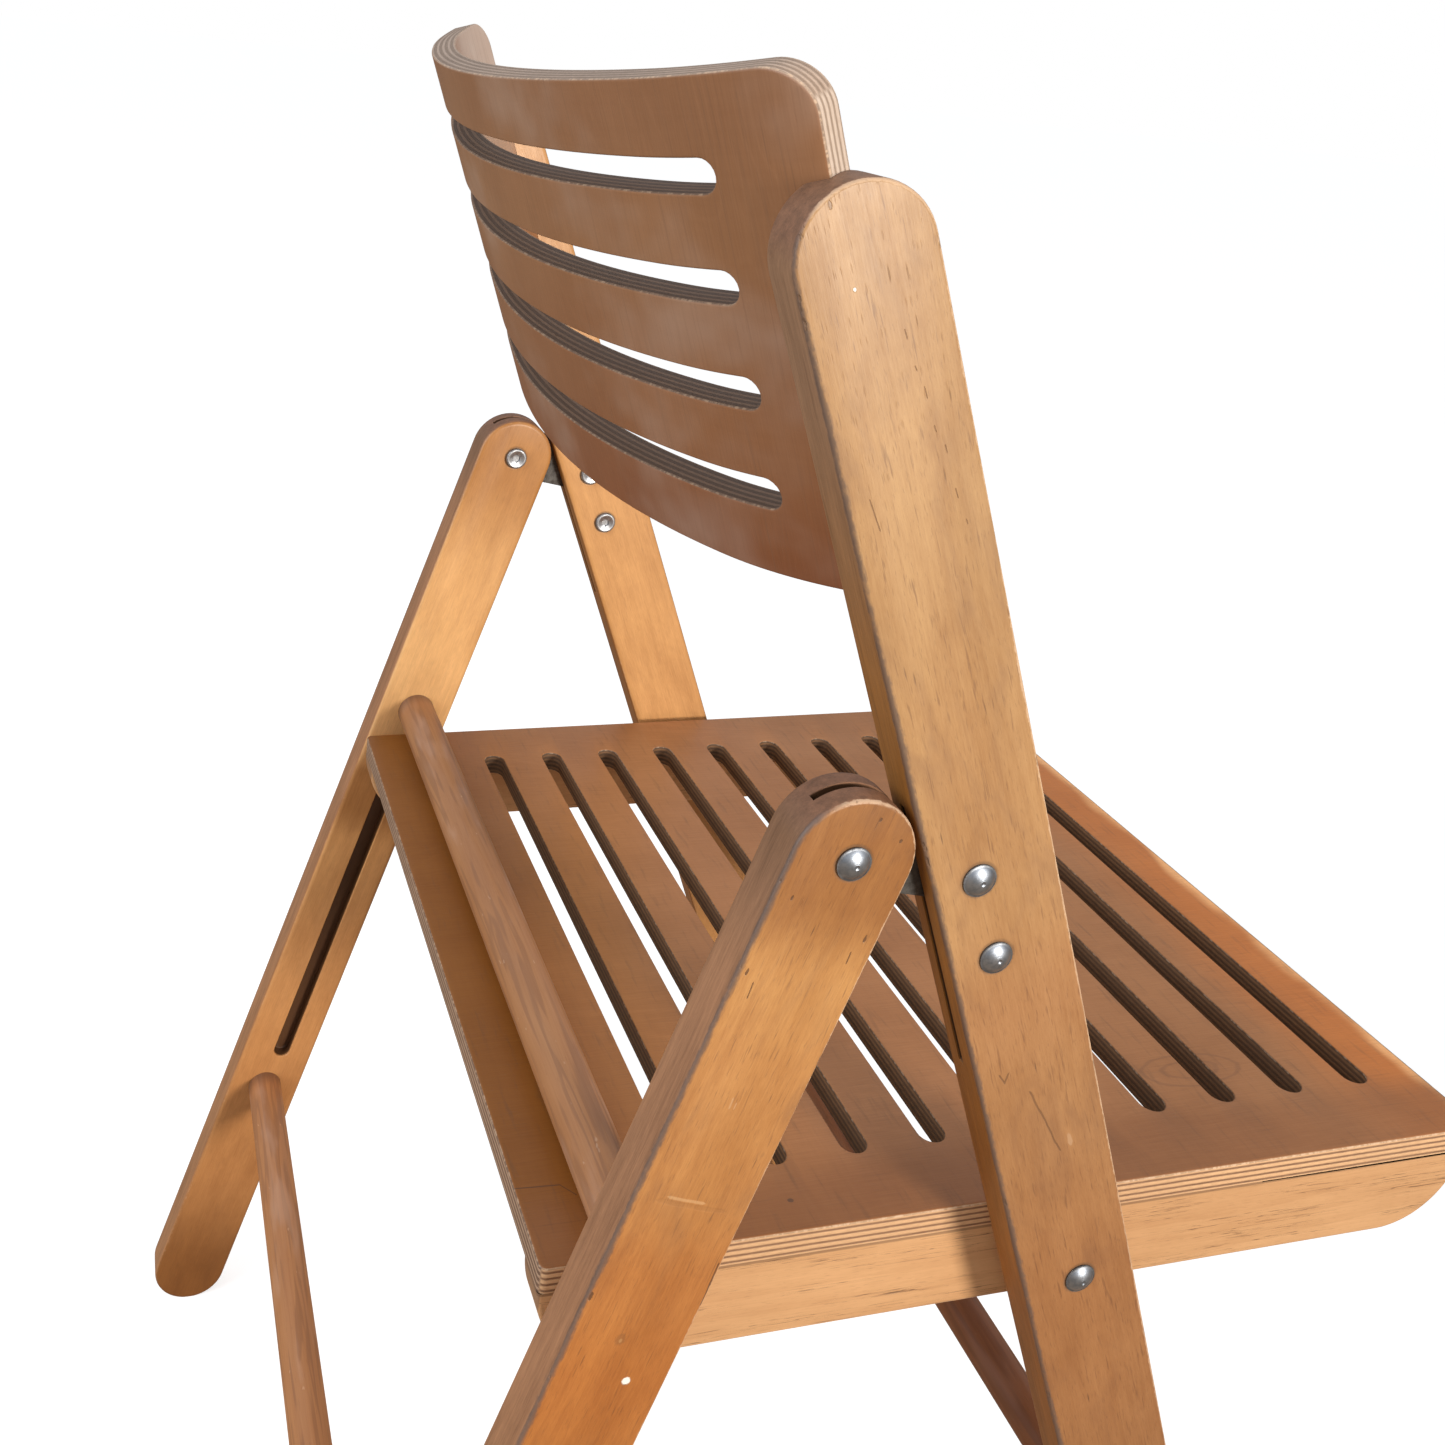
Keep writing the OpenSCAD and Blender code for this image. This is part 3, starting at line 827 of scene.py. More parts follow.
def ladder(sh, A, stops):
    """colour that changes along A through stops [(place, colour), ...], lowest place first"""
    col = stops[0][1]
    for (p0, c0), (p1, c1) in zip(stops, stops[1:]):
        col = sh.mix(A.step(p0, p1), col, c1)
    return col


# tints along the two kinds of board, on the faces, on the rear edge and on the inner faces: mostly painted light and
# shade, partly sun bleaching on the post's upper end
AGE_AND_PAINTED_LIGHT = {
    "front": {
        # post face: painted shade low down, painted cool sky sheen towards the top, partly sun bleaching
        "face": [(-230, (0.68, 0.60, 0.58)), (-125, (0.75, 0.74, 0.79)), (-85, (0.80, 0.79, 0.87)), (-35, (0.88, 0.96, 1.08)), (110, (0.86, 0.99, 1.15)), (190, (0.85, 0.97, 1.13))],
        # post rear edge: painted shade, darkest and most saturated low down as painted warm bounce light
        "edge": [(-220, (0.262, 0.092, 0.012)), (20, (0.285, 0.118, 0.020)), (170, (0.270, 0.160, 0.098))],
        # post inner face: darker towards the bottom
        "inner": [(-500, (0.80, 0.74, 0.68)), (-150, (0.97, 0.97, 0.97)), (190, (0.95, 0.97, 1.02))],
    },
    "rear": {
        # leg face: painted warm bounce towards the foot, a painted cool sheen below the head and the painted shadow of
        # the post at the head
        "face": [(-520, (0.90, 0.74, 0.52)), (-290, (0.90, 0.75, 0.53)), (-205, (0.86, 0.67, 0.46)), (-165, (0.86, 0.72, 0.57)), (-125, (0.90, 0.88, 0.84)), (-80, (0.94, 0.96, 0.98)), (-45, (1.00, 1.08, 1.14)), (-14, (0.62, 0.57, 0.52))],
        # leg rear edge: painted shade, darker at the head
        "edge": [(-520, (0.380, 0.190, 0.090)), (-60, (0.350, 0.180, 0.098)), (5, (0.220, 0.122, 0.070))],
        # leg inner face: painted sunlight above the seat and just under its rail, a painted shadow band just below the
        # seat, darker towards the head and the foot
        "inner": [(-585, (0.36, 0.27, 0.18)), (-500, (0.74, 0.66, 0.62)), (-330, (0.94, 0.90, 0.92)), (-262, (1.22, 1.24, 1.28)), (-236, (0.72, 0.64, 0.54)), (-214, (0.74, 0.68, 0.60)), (-196, (1.28, 1.45, 1.70)), (-150, (1.24, 1.42, 1.66)), (-80, (1.06, 1.16, 1.30)), (-10, (0.67, 0.60, 0.50))],
    },
}

WOOD = {
    #            light                 dark                  end grain
    "front": ((0.520, 0.268, 0.104), (0.375, 0.170, 0.056), (0.255, 0.140, 0.078)),
    "rear": ((0.540, 0.255, 0.084), (0.370, 0.150, 0.042), (0.260, 0.138, 0.074)),
    "rail": ((0.700, 0.410, 0.205), (0.520, 0.275, 0.125), (0.260, 0.140, 0.075)),
    "dowel": ((0.470, 0.245, 0.112), (0.345, 0.155, 0.062), (0.240, 0.125, 0.068)),
}


def board_material(name, kind, org, u, n, o_mid, a0, a1, rings, seed, nuts, marks=None):
    sh = Shade(name)
    light, dark, endc = WOOD[kind]
    x, y, z = sh.place()
    side = x.sign()
    X = abs(x)
    dy, dz = y - org[0], z - org[1]
    A = dy * u[0] + dz * u[1]
    C = dy * n[0] + dz * n[1] - o_mid
    g = grain(sh, A + side * 411.0, C, X, rings[0], rings[1], rings[2], seed)

    # how far in from the outline and from the two faces
    e = A.max(a0).min(a1)
    da = A - e
    dist = (da * da + C * C).sqrt()
    inset = (22.0 - dist).max(0.0)
    d_out = (XO - X).max(0.0)
    d_in = (X - XI).max(0.0)
    wall = inset.step(0.9, 0.15)                      # the long edges and the round ends
    ends = (abs(da) / 22.0).step(0.12, 0.62) * wall
    rear = C.step(0.0, -14.0) * wall

    age_and_light = AGE_AND_PAINTED_LIGHT[kind]
    patch = sh.noise(A * 0.026 + seed * 3.0, C * 0.080, X * 0.080, 3.0, 0.62, 0.5)
    fine = sh.noise(A * 0.26 + seed, C * 2.3, X * 2.3, 3.0, 0.66)
    t = (g["cloud"] - 0.5) * 0.90 + (g["streak"] - 0.5) * 0.80 + (g["mottle"] - 0.5) * 0.50 + (patch - 0.5) * 1.10 + (fine - 0.5) * 0.85 + g["late"] * 0.14 + 0.42
    col = sh.mix(t.clamp(), light, dark)
    warm = sh.noise(A * 0.006 + 5.0, C * 0.03, X * 0.03 + seed, 1.0)
    col = sh.mix(warm.step(0.35, 0.75) * 0.30, col, sh.mix(t.clamp(), (0.66, 0.34, 0.13), (0.47, 0.21, 0.075)))
    # short dark streaks along the fibre and brown clouds of handling
    dash = sh.noise(A * 0.075 + 31.0, C * 1.05, X * 1.05 + seed, 2.0, 0.55)
    col = sh.mix(dash.step(0.60, 0.74) * 0.62, col, (0.235, 0.106, 0.044))
    tick = sh.noise(A * 0.30 + 51.0, C * 2.1, X * 2.1 + seed, 2.0, 0.6)
    col = sh.mix(tick.step(0.60, 0.74) * 0.42, col, (0.250, 0.116, 0.050))
    haze = sh.noise(A * 0.018 + 11.0, C * 0.050, X * 0.050 + seed, 3.0, 0.65, 0.8)
    col = sh.mix(haze.step(0.48, 0.76) * 0.50, col, (0.300, 0.142, 0.062))
    col = sh.mix(g["pore"] * 0.34, col, (0.260, 0.120, 0.050))
    col = sh.mix(g["fleck"] * 0.72, col, (0.130, 0.062, 0.030))

    # inner faces take a lighter, warmer colour: painted sunlight; the inner tint adds painted light and shade along
    # them
    inside = d_in.step(3.0, 0.6) * (1.0 - wall)
    col = sh.mix(inside * 0.60, col, sh.mix(t.clamp(), (0.760, 0.400, 0.150), (0.540, 0.265, 0.092)))
    col = sh.mix(1.0, col, sh.mix(inside, ladder(sh, A, age_and_light["face"]), ladder(sh, A, age_and_light["inner"])), "MULTIPLY")
    # round ends show end grain; the rear edges take their own darker colour from the edge tint: painted shade, with
    # handling marks in its noise
    speck = sh.noise(A * 1.1, C * 1.6, X * 1.6, 3.0, 0.7)
    blot = sh.noise(A * 0.22, C * 0.30, X * 0.30, 2.0, 0.6)
    endt = ((speck - 0.5) * 1.2 + (blot - 0.5) * 1.6 + 0.5).clamp()
    endcol = sh.mix(endt, (endc[0] * 1.16, endc[1] * 1.06, endc[2] * 1.10), (endc[0] * 0.54, endc[1] * 0.50, endc[2] * 0.54))
    edge_n = sh.noise(A * 0.022 + 8.0, C * 0.2, X * 0.28, 3.0, 0.62)
    edge_t = ((g["streak"] - 0.5) * 1.0 + (edge_n - 0.5) * 1.4 + (fine - 0.5) * 0.8 + 0.5).clamp()
    rear_edge_shade_col = sh.mix(1.0, ladder(sh, A, age_and_light["edge"]), sh.mix(edge_t, (1.30, 1.28, 1.26), (0.66, 0.62, 0.60)), "MULTIPLY")
    col = sh.mix(rear * 0.92, col, rear_edge_shade_col)
    col = sh.mix(ends * 0.90, col, endcol)

    # worn arrises
    q_out = (inset * inset + d_out * d_out).sqrt()
    q_in = (inset * inset + d_in * d_in).sqrt()
    chip = sh.noise(A * 0.42, C * 0.42, X * 0.9, 3.0, 0.65)
    run = sh.noise(A * 0.018, C * 0.05, side * 3.0 + seed, 2.0)
    wear_q = q_out + (0.5 - chip) * 1.5 + (0.5 - run) * 1.3
    fore = C.step(-17.0, -9.0)                         # 0 towards the rear edge
    wear = wear_q.step(1.15, 0.72) * (fore * 0.9 + 0.1)
    wear2 = (q_in + (0.5 - chip) * 1.4 + (0.5 - run) * 1.0).step(1.25, 0.80)
    worn = wear.max(wear2 * 0.45)
    col = sh.mix(worn * 0.55, col, (0.700, 0.500, 0.340))
    # a ragged dark line of grime along the rear outer arris
    line_n = sh.noise(A * 0.030, 4.0, X * 0.6 + seed, 3.0, 0.65)
    line_f = sh.noise(A * 0.33, C * 0.8, X * 0.8, 2.0, 0.65)
    line = (q_out + (line_n - 0.5) * 2.6 + (line_f - 0.5) * 1.8).step(2.1, 0.6) * C.step(-15.0, -19.0)
    col = sh.mix(line * 0.78, col, (0.105, 0.074, 0.064))
    # hollows: the saw kerf, grooves and holes are darkened: painted shade, with some old dirt
    hollow_shade = d_in.step(0.9, 1.9) * d_out.step(0.9, 1.9) * inset.step(1.2, 2.6)
    hollow_shade = hollow_shade.max(abs(X - XM).step(2.1, 1.6) * inset.step(0.25, 0.7))
    col = sh.mix(hollow_shade * 0.86, col, (0.050, 0.024, 0.013))
    nick = (q_out + (0.5 - sh.noise(A * 0.085, C * 0.25, side * 7.0 + seed, 3.0, 0.75)) * 6.0).step(0.15, -0.45)
    col = sh.mix(nick * 0.60, col, (0.150, 0.085, 0.050))

    height = (g["streak"] - 0.5) * 0.30 + (g["fibre"] - 0.5) * 0.22 - g["pore"] * 0.25 - g["fleck"] * 0.6 - worn * (chip - 0.3) * 0.9 - nick * 2.0 + ends * (speck - 0.5) * 0.5
    rough = (g["mottle"] - 0.5) * 0.10 + (g["streak"] - 0.5) * 0.12 + g["fleck"] * 0.15 + worn * 0.22 + ends * 0.12 + rear * 0.06 + 0.42

    # dark ring round the dome nuts: the painted shadow at each nut's rim, with some dirt
    outer = d_out.step(1.2, 0.4)
    for (na, nc) in nuts:
        ea, ec = A - na, C - nc
        r = (ea * ea + ec * ec).sqrt() + (sh.noise(A * 0.9, C * 0.9, 2.0, 1.0) - 0.5) * 0.8
        ring = r.step(7.3, 6.1)
        col = sh.mix(ring * 0.55, col, (0.130, 0.080, 0.050))
        height = height - ring * 0.6
    if marks:
        col, rough, height = marks(sh, A, C, x, outer, col, rough, height)
    return sh.finish(col, rough, height, dist=0.00014)


def post_marks(sh, A, C, x, outer, col, rough, height):
    near = x.step(-209.0, -211.0) * outer

    def at(a, c, ra, rc, rag=0.0, rs=1.0):
        return spot(sh, A, C, a, c, ra, rc, rag, rs) * near

    def line(a0, c0, a1, c1, w, rag=0.6):
        return stroke(sh, A, C, a0, c0, a1, c1, w, rag) * near

    dark = (0.130, 0.062, 0.030)
    # growth line and curl lower down; the paler upper end is painted sheen in the face tint, partly sun bleaching
    lines = line(-121.0, -3.8, -152.6, 2.5, 0.50, 1.6).max(line(-112.0, -12.3, -109.0, -10.4, 0.55)).max(line(-112.0, -12.3, -108.0, -13.6, 0.45))
    lines = lines.max(line(116.5, -14.5, 106.0, -13.4, 0.26)).max(at(203.2, -7.6, 1.6, 0.6, 0.8, 0.8))
    for a, c, l in ((161.9, 6.2, 2.6), (150.5, 7.1, 1.4), (143.5, 8.6, 3.4), (131.0, 9.3, 1.8), (124.0, 11.4, 2.4), (109.5, 11.9, 3.0), (98.7, 13.4, 1.5)):
        lines = lines.max(line(a, c, a - l, c + 0.2, 0.24, 0.3))
    col = sh.mix(lines * 0.62, col, dark)
    scuff = at(-150.0, 7.0, 3.2, 0.9, 1.2, 0.5)
    col = sh.mix(scuff * 0.36, col, (0.560, 0.370, 0.235))
    # paint speck
    s = at(178.2, -5.7, 0.65, 0.5, 0.4, 1.2)
    col = sh.mix(s, col, (0.86, 0.84, 0.78))
    height = height + s * 1.5 - lines * 0.8
    return col, rough, height


def leg_marks(sh, A, C, x, outer, col, rough, height):
    near = x.step(-209.0, -211.0) * outer

    def at(a, c, ra, rc, rag=0.0, rs=1.0):
        return spot(sh, A, C, a, c, ra, rc, rag, rs) * near

    def line(a0, c0, a1, c1, w, rag=0.6):
        return stroke(sh, A, C, a0, c0, a1, c1, w, rag) * near

    nicks = at(-43.7, -18.9, 1.5, 0.5, 0.9, 0.6).max(at(-15.9, -15.3, 0.9, 0.45, 0.9, 0.7)).max(at(-24.4, 16.6, 1.4, 0.5, 0.9, 0.7))
    nicks = nicks.max(at(10.9, 12.7, 0.7, 0.5, 0.8, 0.8)).max(at(16.2, 2.4, 0.7, 0.45, 0.8, 0.8)).max(at(-170.0, -20.6, 1.8, 0.6, 0.9, 0.6))
    nicks = nicks.max(line(-152.0, 20.4, -169.0, 21.2, 0.5)).max(line(-47.0, -15.0, -52.5, -14.6, 0.3)).max(line(-30.0, 14.0, -34.0, 14.2, 0.3))
    col = sh.mix(nicks * 0.80, col, (0.100, 0.046, 0.022))
    # small knot with a pale heart
    knot = at(-186.0, -2.6, 2.6, 1.9, 0.7, 0.6)
    heart = at(-186.4, -2.4, 0.9, 0.6, 0.4, 0.8)
    col = sh.mix(knot * 0.45, col, (0.210, 0.088, 0.030))
    col = sh.mix(heart * 0.45, col, (0.520, 0.290, 0.120))
    # a dent across the board: its dark band is painted shade and the pale strip along its upper edge a painted
    # highlight
    dent = line(-130.4, -12.0, -131.4, 12.0, 1.3, 1.4)
    lip_highlight = line(-128.6, -9.0, -129.2, 4.0, 0.8, 1.0)
    col = sh.mix(dent * 0.20, col, (0.260, 0.120, 0.046))
    col = sh.mix(lip_highlight * 0.34, col, (0.720, 0.470, 0.250))
    scuff = line(-89.0, -3.1, -92.5, -2.9, 0.45).max(line(-90.5, -1.2, -92.5, -1.1, 0.35))
    col = sh.mix(scuff * 0.36, col, (0.620, 0.410, 0.250))
    s = at(-202.6, 6.8, 1.65, 1.6, 0.4, 0.9)
    col = sh.mix(s, col, (0.88, 0.86, 0.80))
    height = height + s * 1.5 - nicks * 1.2 - dent * 0.6 - knot * 0.5
    return col, rough, height


plate_c = [(PB1[0], PB1[1] - 45.5), (PB2[0], PB2[1] - 45.5)]


def to_side(pt, org, u, n):
    d = (pt[0] - org[0], pt[1] - org[1])
    return (d[0] * u[0] + d[1] * u[1], d[0] * n[0] + d[1] * n[1])


sp = to_side(S, P, PU, PN)
post_mat = board_material("beech_post", "front", P, PU, PN, 45.5, -POST_LOW, POST_TOP, (-34.0, 262.0, 3.4), 1.7, plate_c + [(sp[0], sp[1] - 45.5)], post_marks)
leg_mat = board_material("beech_leg", "rear", P, LU, LN, 0.0, -LEG_LEN, 0.0, (16.0, 246.0, 3.8), 5.2, [(0.0, 0.0)], leg_marks)


def ply_material(name, thick, layers, across_grain, width, seed, face_light, face_dark, field, side_c, rim_c, slot_shade_c, ages):
    """plywood sheet from its flat coordinates: u across, v along the face grain, w through the thickness.
    field: half width, low and high end of the part with slots; side_c, rim_c, slot_shade_c: light and dark plies
    on the long sides, on the other outer edges and inside the slots"""
    sh = Shade(name)
    u, v, w = sh.attribute("flat")
    g = grain(sh, v, u, w, 0.0, -420.0 if across_grain else 330.0, 15.0, seed, 0.35)
    face = (w.step(0.42, 0.10)).max(w.step(thick - 0.42, thick - 0.10))
    # rotary veneer: broad wavy figure, fine fibres
    fig = sh.noise(v * 0.0045, u * 0.020, seed, 2.0, 0.5, 0.6)
    bands = ((fig * 17.0).fract() - 0.5)
    cath = abs(bands).step(0.5, 0.30) * sh.noise(v * 0.006, u * 0.02, seed + 4.0, 1.0).step(0.40, 0.65)
    blot = sh.noise(v * 0.012, u * 0.018, seed + 2.0, 3.0, 0.6)
    fine = sh.noise(v * 0.055, u * 1.7, seed, 3.0, 0.6)
    cross = sh.noise(v * 0.5, u * 0.035, seed + 7.0, 2.0, 0.6)
    t = (blot - 0.5) * 1.15 + (fine - 0.5) * 0.95 + (cross - 0.5) * 0.30 + cath * 0.16 + 0.42
    col = sh.mix(t.clamp(), face_light, face_dark)
    # ages: a tint that can carry painted light and shade as well as wear and weathering
    col = ages(sh, u, v, w, col)
    col = sh.mix(g["pore"] * 0.16, col, (0.26, 0.12, 0.055))
    # pin knots and specks
    kd, k1, k2 = sh.cells(v / 62.0, u / 55.0, seed)
    kq = kd + (sh.noise(v * 0.35, u * 0.5, seed, 2.0) - 0.5) * 0.02
    knot = kq.step(0.028, 0.012) * k1.step(0.70, 0.75)
    col = sh.mix(knot * 0.8, col, (0.14, 0.060, 0.028))
    # edge: plies
    pitch = thick / layers
    lw = w + (sh.noise(v * 0.02, u * 0.02, seed + 1.0, 1.0) - 0.5) * 0.35
    idx = (lw / pitch).floor()
    odd = ((idx * 0.5).fract()).step(0.2, 0.3)
    side_wall = abs(u).step(width - 1.6, width - 0.6)
    lightply = (odd * (1.0 - side_wall) + (1.0 - odd) * side_wall) if across_grain else (odd * side_wall + (1.0 - odd) * (1.0 - side_wall))
    fr = (lw / pitch).fract()
    hu, v0, v1 = field
    inner = abs(u).step(hu + 2.0, hu) * v.step(v0 - 2.0, v0) * v.step(v1 + 2.0, v1)
    # sanding leaves the dark plies narrow on the outer edges
    lightply = lightply.max(abs(fr - 0.5).step(0.28, 0.42) * (side_wall if across_grain else 1.0 - inner))
    glue = (abs(fr - 0.5)).step(0.40, 0.48)
    en = sh.noise(v * 0.35, u * 0.35, w * 2.2, 3.0, 0.65)
    dirt = sh.noise(v * 0.012, u * 0.012, seed + 3.0, 2.0)
    pick = en.step(0.25, 0.8)

    def plies(pair):
        (la, lb), (da, db) = pair
        return sh.mix(lightply, sh.mix(pick, da, db), sh.mix(pick, la, lb))

    # the slot plies are far darker than the outer edges: painted shade in the slots, with some grime
    ecol = sh.mix(inner, sh.mix(side_wall, plies(rim_c), plies(side_c)), plies(slot_shade_c))
    ecol = sh.mix(glue * (0.50 - side_wall * 0.44), ecol, (0.070, 0.036, 0.022))
    ecol = sh.mix(dirt.step(0.35, 0.75) * 0.25, ecol, sh.mix(side_wall, (0.110, 0.072, 0.050), (0.450, 0.270, 0.150)))
    col = sh.mix(face, ecol, col)
    # arris rubbed pale
    aq = (w - thick + 0.55)
    chip = sh.noise(v * 0.45, u * 0.45, seed + 5.0, 3.0, 0.65)
    low = (w - 0.55)
    line = (abs(aq) + (0.5 - chip) * 0.5).step(0.42, 0.12).max((abs(low) + (0.5 - chip) * 0.5).step(0.42, 0.12))
    edge = (1.0 - face)
    rub = chip.step(0.42, 0.62)
    col = sh.mix(line * (0.70 - inner * 0.30) * (rub * 0.75 + 0.25), col, (0.620, 0.440, 0.300))
    col = sh.mix(line * (1.0 - rub) * 0.42, col, (0.110, 0.070, 0.052))
    height = (fine - 0.5) * 0.22 + (cross - 0.5) * 0.06 - g["pore"] * 0.15 - knot * 1.0 + (1.0 - face) * (lightply * 0.55 - glue * 0.7 + (en - 0.5) * 0.5) - line * chip * 0.5
    rough = (blot - 0.5) * 0.12 + (fine - 0.5) * 0.10 + (1.0 - face) * 0.20 + line * 0.10 + 0.44
    return sh.finish(col, rough, height, dist=0.00014)


def seat_ages_and_light(sh, u, v, w, col):
    # painted highlight on the rounded front edge; painted shade and warm bounce colour on the rear margin, and the
    # painted shadow of the leg and post on the near margin
    n = sh.noise(v * 0.020, u * 0.020, 3.0, 2.0)
    tint = ladder(sh, v + (n - 0.5) * 24.0, [(-213, (2.6, 2.8, 2.8)), (-204, (1.55, 1.06, 0.47)), (-150, (1.06, 0.96, 0.84)), (60, (1.08, 0.98, 0.90)), (138, (1.10, 0.94, 0.60)), (185, (0.82, 0.62, 0.22))])
    tint = sh.mix(u.step(-150.0, -172.0) * 0.7, tint, sh.mix(n, (0.86, 0.72, 0.58), (0.78, 0.62, 0.46)))
    col = sh.mix(1.0, col, tint, "MULTIPLY")
    top = w.step(9.0, 10.5)
    smear = sh.noise(v * 0.34, u * 0.040, 41.0, 3.0, 0.6)
    col = sh.mix(smear.step(0.54, 0.74) * 0.34, col, (0.150, 0.070, 0.030))
    hair = sh.noise(v * 0.040, u * 1.7, 47.0, 2.0, 0.6)
    col = sh.mix(hair.step(0.60, 0.76) * 0.34, col, (0.150, 0.068, 0.030))
    # rings of a cathedral figure, a crack and a few specks
    du, dv = (u + 139.0) / 5.0, (v + 108.0) / 13.0
    q = (du * du + dv * dv).sqrt() + (sh.noise(v * 0.05, u * 0.2, 6.0, 2.0) - 0.5) * 0.5
    ring = (abs(q - 1.0).step(0.16, 0.04)).max(abs(q - 1.8).step(0.14, 0.03)) * top
    col = sh.mix(ring * 0.30, col, (0.160, 0.068, 0.030))
    crack = stroke(sh, v, u, 208.0, -153.0, 183.7, -154.7, 0.35, 0.5).max(stroke(sh, v, u, 183.7, -154.7, 179.0, -160.0, 0.3, 0.3))
    crack = crack.max(spot(sh, v, u, 100.0, -176.0, 1.3, 0.9, 0.6, 0.8)) * top
    return sh.mix(crack * 0.75, col, (0.090, 0.042, 0.022))


def back_ages_and_light(sh, u, v, w, col):
    n = sh.noise(v * 0.014, u * 0.010, 3.0, 2.0, 0.6)
    # darker towards the bottom: painted shade
    tint = ladder(sh, v + (n - 0.5) * 30.0, [(72, (0.66, 0.46, 0.36)), (130, (0.82, 0.74, 0.69)), (190, (0.90, 0.90, 0.90)), (236, (0.87, 0.87, 0.92))])
    col = sh.mix(1.0, col, tint, "MULTIPLY")
    # a painted sheen over the far curve, and soft patches of bloom
    patch = sh.noise(v * 0.016, u * 0.012, 12.0, 3.0, 0.6)
    painted_sheen = u.step(60.0, 205.0) * v.step(120.0, 232.0)
    col = sh.mix((patch.step(0.45, 0.75) * 0.30 + painted_sheen * 0.70), col, (0.520, 0.420, 0.360))
    # faint fibres up the sheet
    up = sh.noise(v * 0.012, u * 0.60, 21.0, 3.0, 0.62)
    thin = sh.noise(v * 0.030, u * 1.6, 27.0, 2.0, 0.6)
    col = sh.mix(up.step(0.50, 0.78) * 0.34, col, (0.180, 0.096, 0.056))
    return sh.mix(thin.step(0.60, 0.76) * 0.36, col, (0.150, 0.080, 0.048))


# last colour pair: slot plies darkened as painted shade, with some grime
seat_mat = ply_material("birch_ply_seat", 11.7, 9, True, SEAT_HW, 3.1, (0.400, 0.190, 0.078), (0.290, 0.125, 0.044), (162.0, -190.0, 141.0),
                        (((0.780, 0.480, 0.260), (0.630, 0.370, 0.195)), ((0.300, 0.160, 0.085), (0.200, 0.100, 0.052))),
                        (((0.520, 0.350, 0.240), (0.380, 0.240, 0.155)), ((0.230, 0.130, 0.080), (0.140, 0.080, 0.050))),
                        (((0.215, 0.106, 0.044), (0.140, 0.066, 0.028)), ((0.105, 0.049, 0.021), (0.062, 0.029, 0.013))), seat_ages_and_light)
back_mat = ply_material("birch_ply_back", 11.7, 9, False, s_of_x(B_END), 7.9, (0.385, 0.190, 0.090), (0.295, 0.135, 0.058), (s_of_x(175.0), 97.0, 219.0),
                        (((0.640, 0.520, 0.430), (0.520, 0.405, 0.325)), ((0.360, 0.265, 0.200), (0.260, 0.185, 0.135))),
                        (((0.560, 0.420, 0.330), (0.440, 0.320, 0.240)), ((0.340, 0.240, 0.175), (0.250, 0.170, 0.120))),
                        (((0.215, 0.130, 0.084), (0.160, 0.094, 0.060)), ((0.118, 0.070, 0.045), (0.078, 0.045, 0.029))), back_ages_and_light)


def rail_material():
    sh = Shade("birch_rail")
    light, dark, endc = WOOD["rail"]
    x, y, z = sh.place()
    X = abs(x)
    dy, dz = y - S[0], z - S[1]
    A = dy * SR[0] + dz * SR[1]
    C = dy * SN[0] + dz * SN[1] + 14.7
    g = grain(sh, A + x.sign() * 300.0, C, X, 46.0, 92.0, 4.4, 9.4, 1.0, True)
    t = (g["cloud"] - 0.5) * 1.0 + (g["streak"] - 0.5) * 0.70 + (g["mottle"] - 0.5) * 0.35 + g["late"] * 0.30 + 0.38
    col = sh.mix(t.clamp(), light, dark)
    col = sh.mix(g["pore"] * 0.20, col, (0.32, 0.155, 0.065))
    col = sh.mix(g["fleck"] * 0.55, col, (0.20, 0.090, 0.040))
    thin = sh.noise(A * 0.016 + 3.0, C * 0.90, X * 0.9, 2.0, 0.5)
    split = (abs(thin - 0.5)).step(0.014, 0.004) * sh.noise(A * 0.014, C * 0.16, 4.0, 1.0).step(0.46, 0.54)
    tick = sh.noise(A * 0.22 + 51.0, C * 1.9, X * 1.9, 2.0, 0.6)
    col = sh.mix(tick.step(0.58, 0.74) * 0.34, col, (0.36, 0.18, 0.078))
    col = sh.mix(g["crack"].max(split) * 0.80, col, (0.12, 0.055, 0.026))
    endm = A.step(SEAT_REAR - 1.4, SEAT_REAR - 0.7)
    sp_ = sh.noise(A * 1.0, C * 1.5, X * 1.5, 3.0, 0.7)
    col = sh.mix(endm * 0.85, col, sh.mix(sp_, (0.34, 0.19, 0.11), (0.20, 0.11, 0.065)))
    d_x = (SEAT_HW - X).max(0.0)
    d_low = (C + 18.7).max(0.0)
    q = (d_x * d_x + d_low * d_low).sqrt()
    chip = sh.noise(A * 0.4, C * 0.4, X * 0.8, 3.0, 0.65)
    worn = (q + (0.5 - chip) * 1.6).step(1.3, 0.75)
    col = sh.mix(worn * 0.45, col, (0.72, 0.50, 0.33))
    # seam under the plywood
    seam = (SEAT_LOW - (C - 14.7)).step(0.7, 0.1)
    col = sh.mix(seam * 0.55, col, (0.12, 0.065, 0.038))
    height = (g["streak"] - 0.5) * 0.30 + (g["fibre"] - 0.5) * 0.22 - g["pore"] * 0.25 - g["fleck"] * 0.6 - g["crack"] * 1.2 - worn * chip * 0.6
    rough = (g["mottle"] - 0.5) * 0.10 + (g["streak"] - 0.5) * 0.12 + worn * 0.2 + 0.44
    return sh.finish(col, rough, height, dist=0.00014)


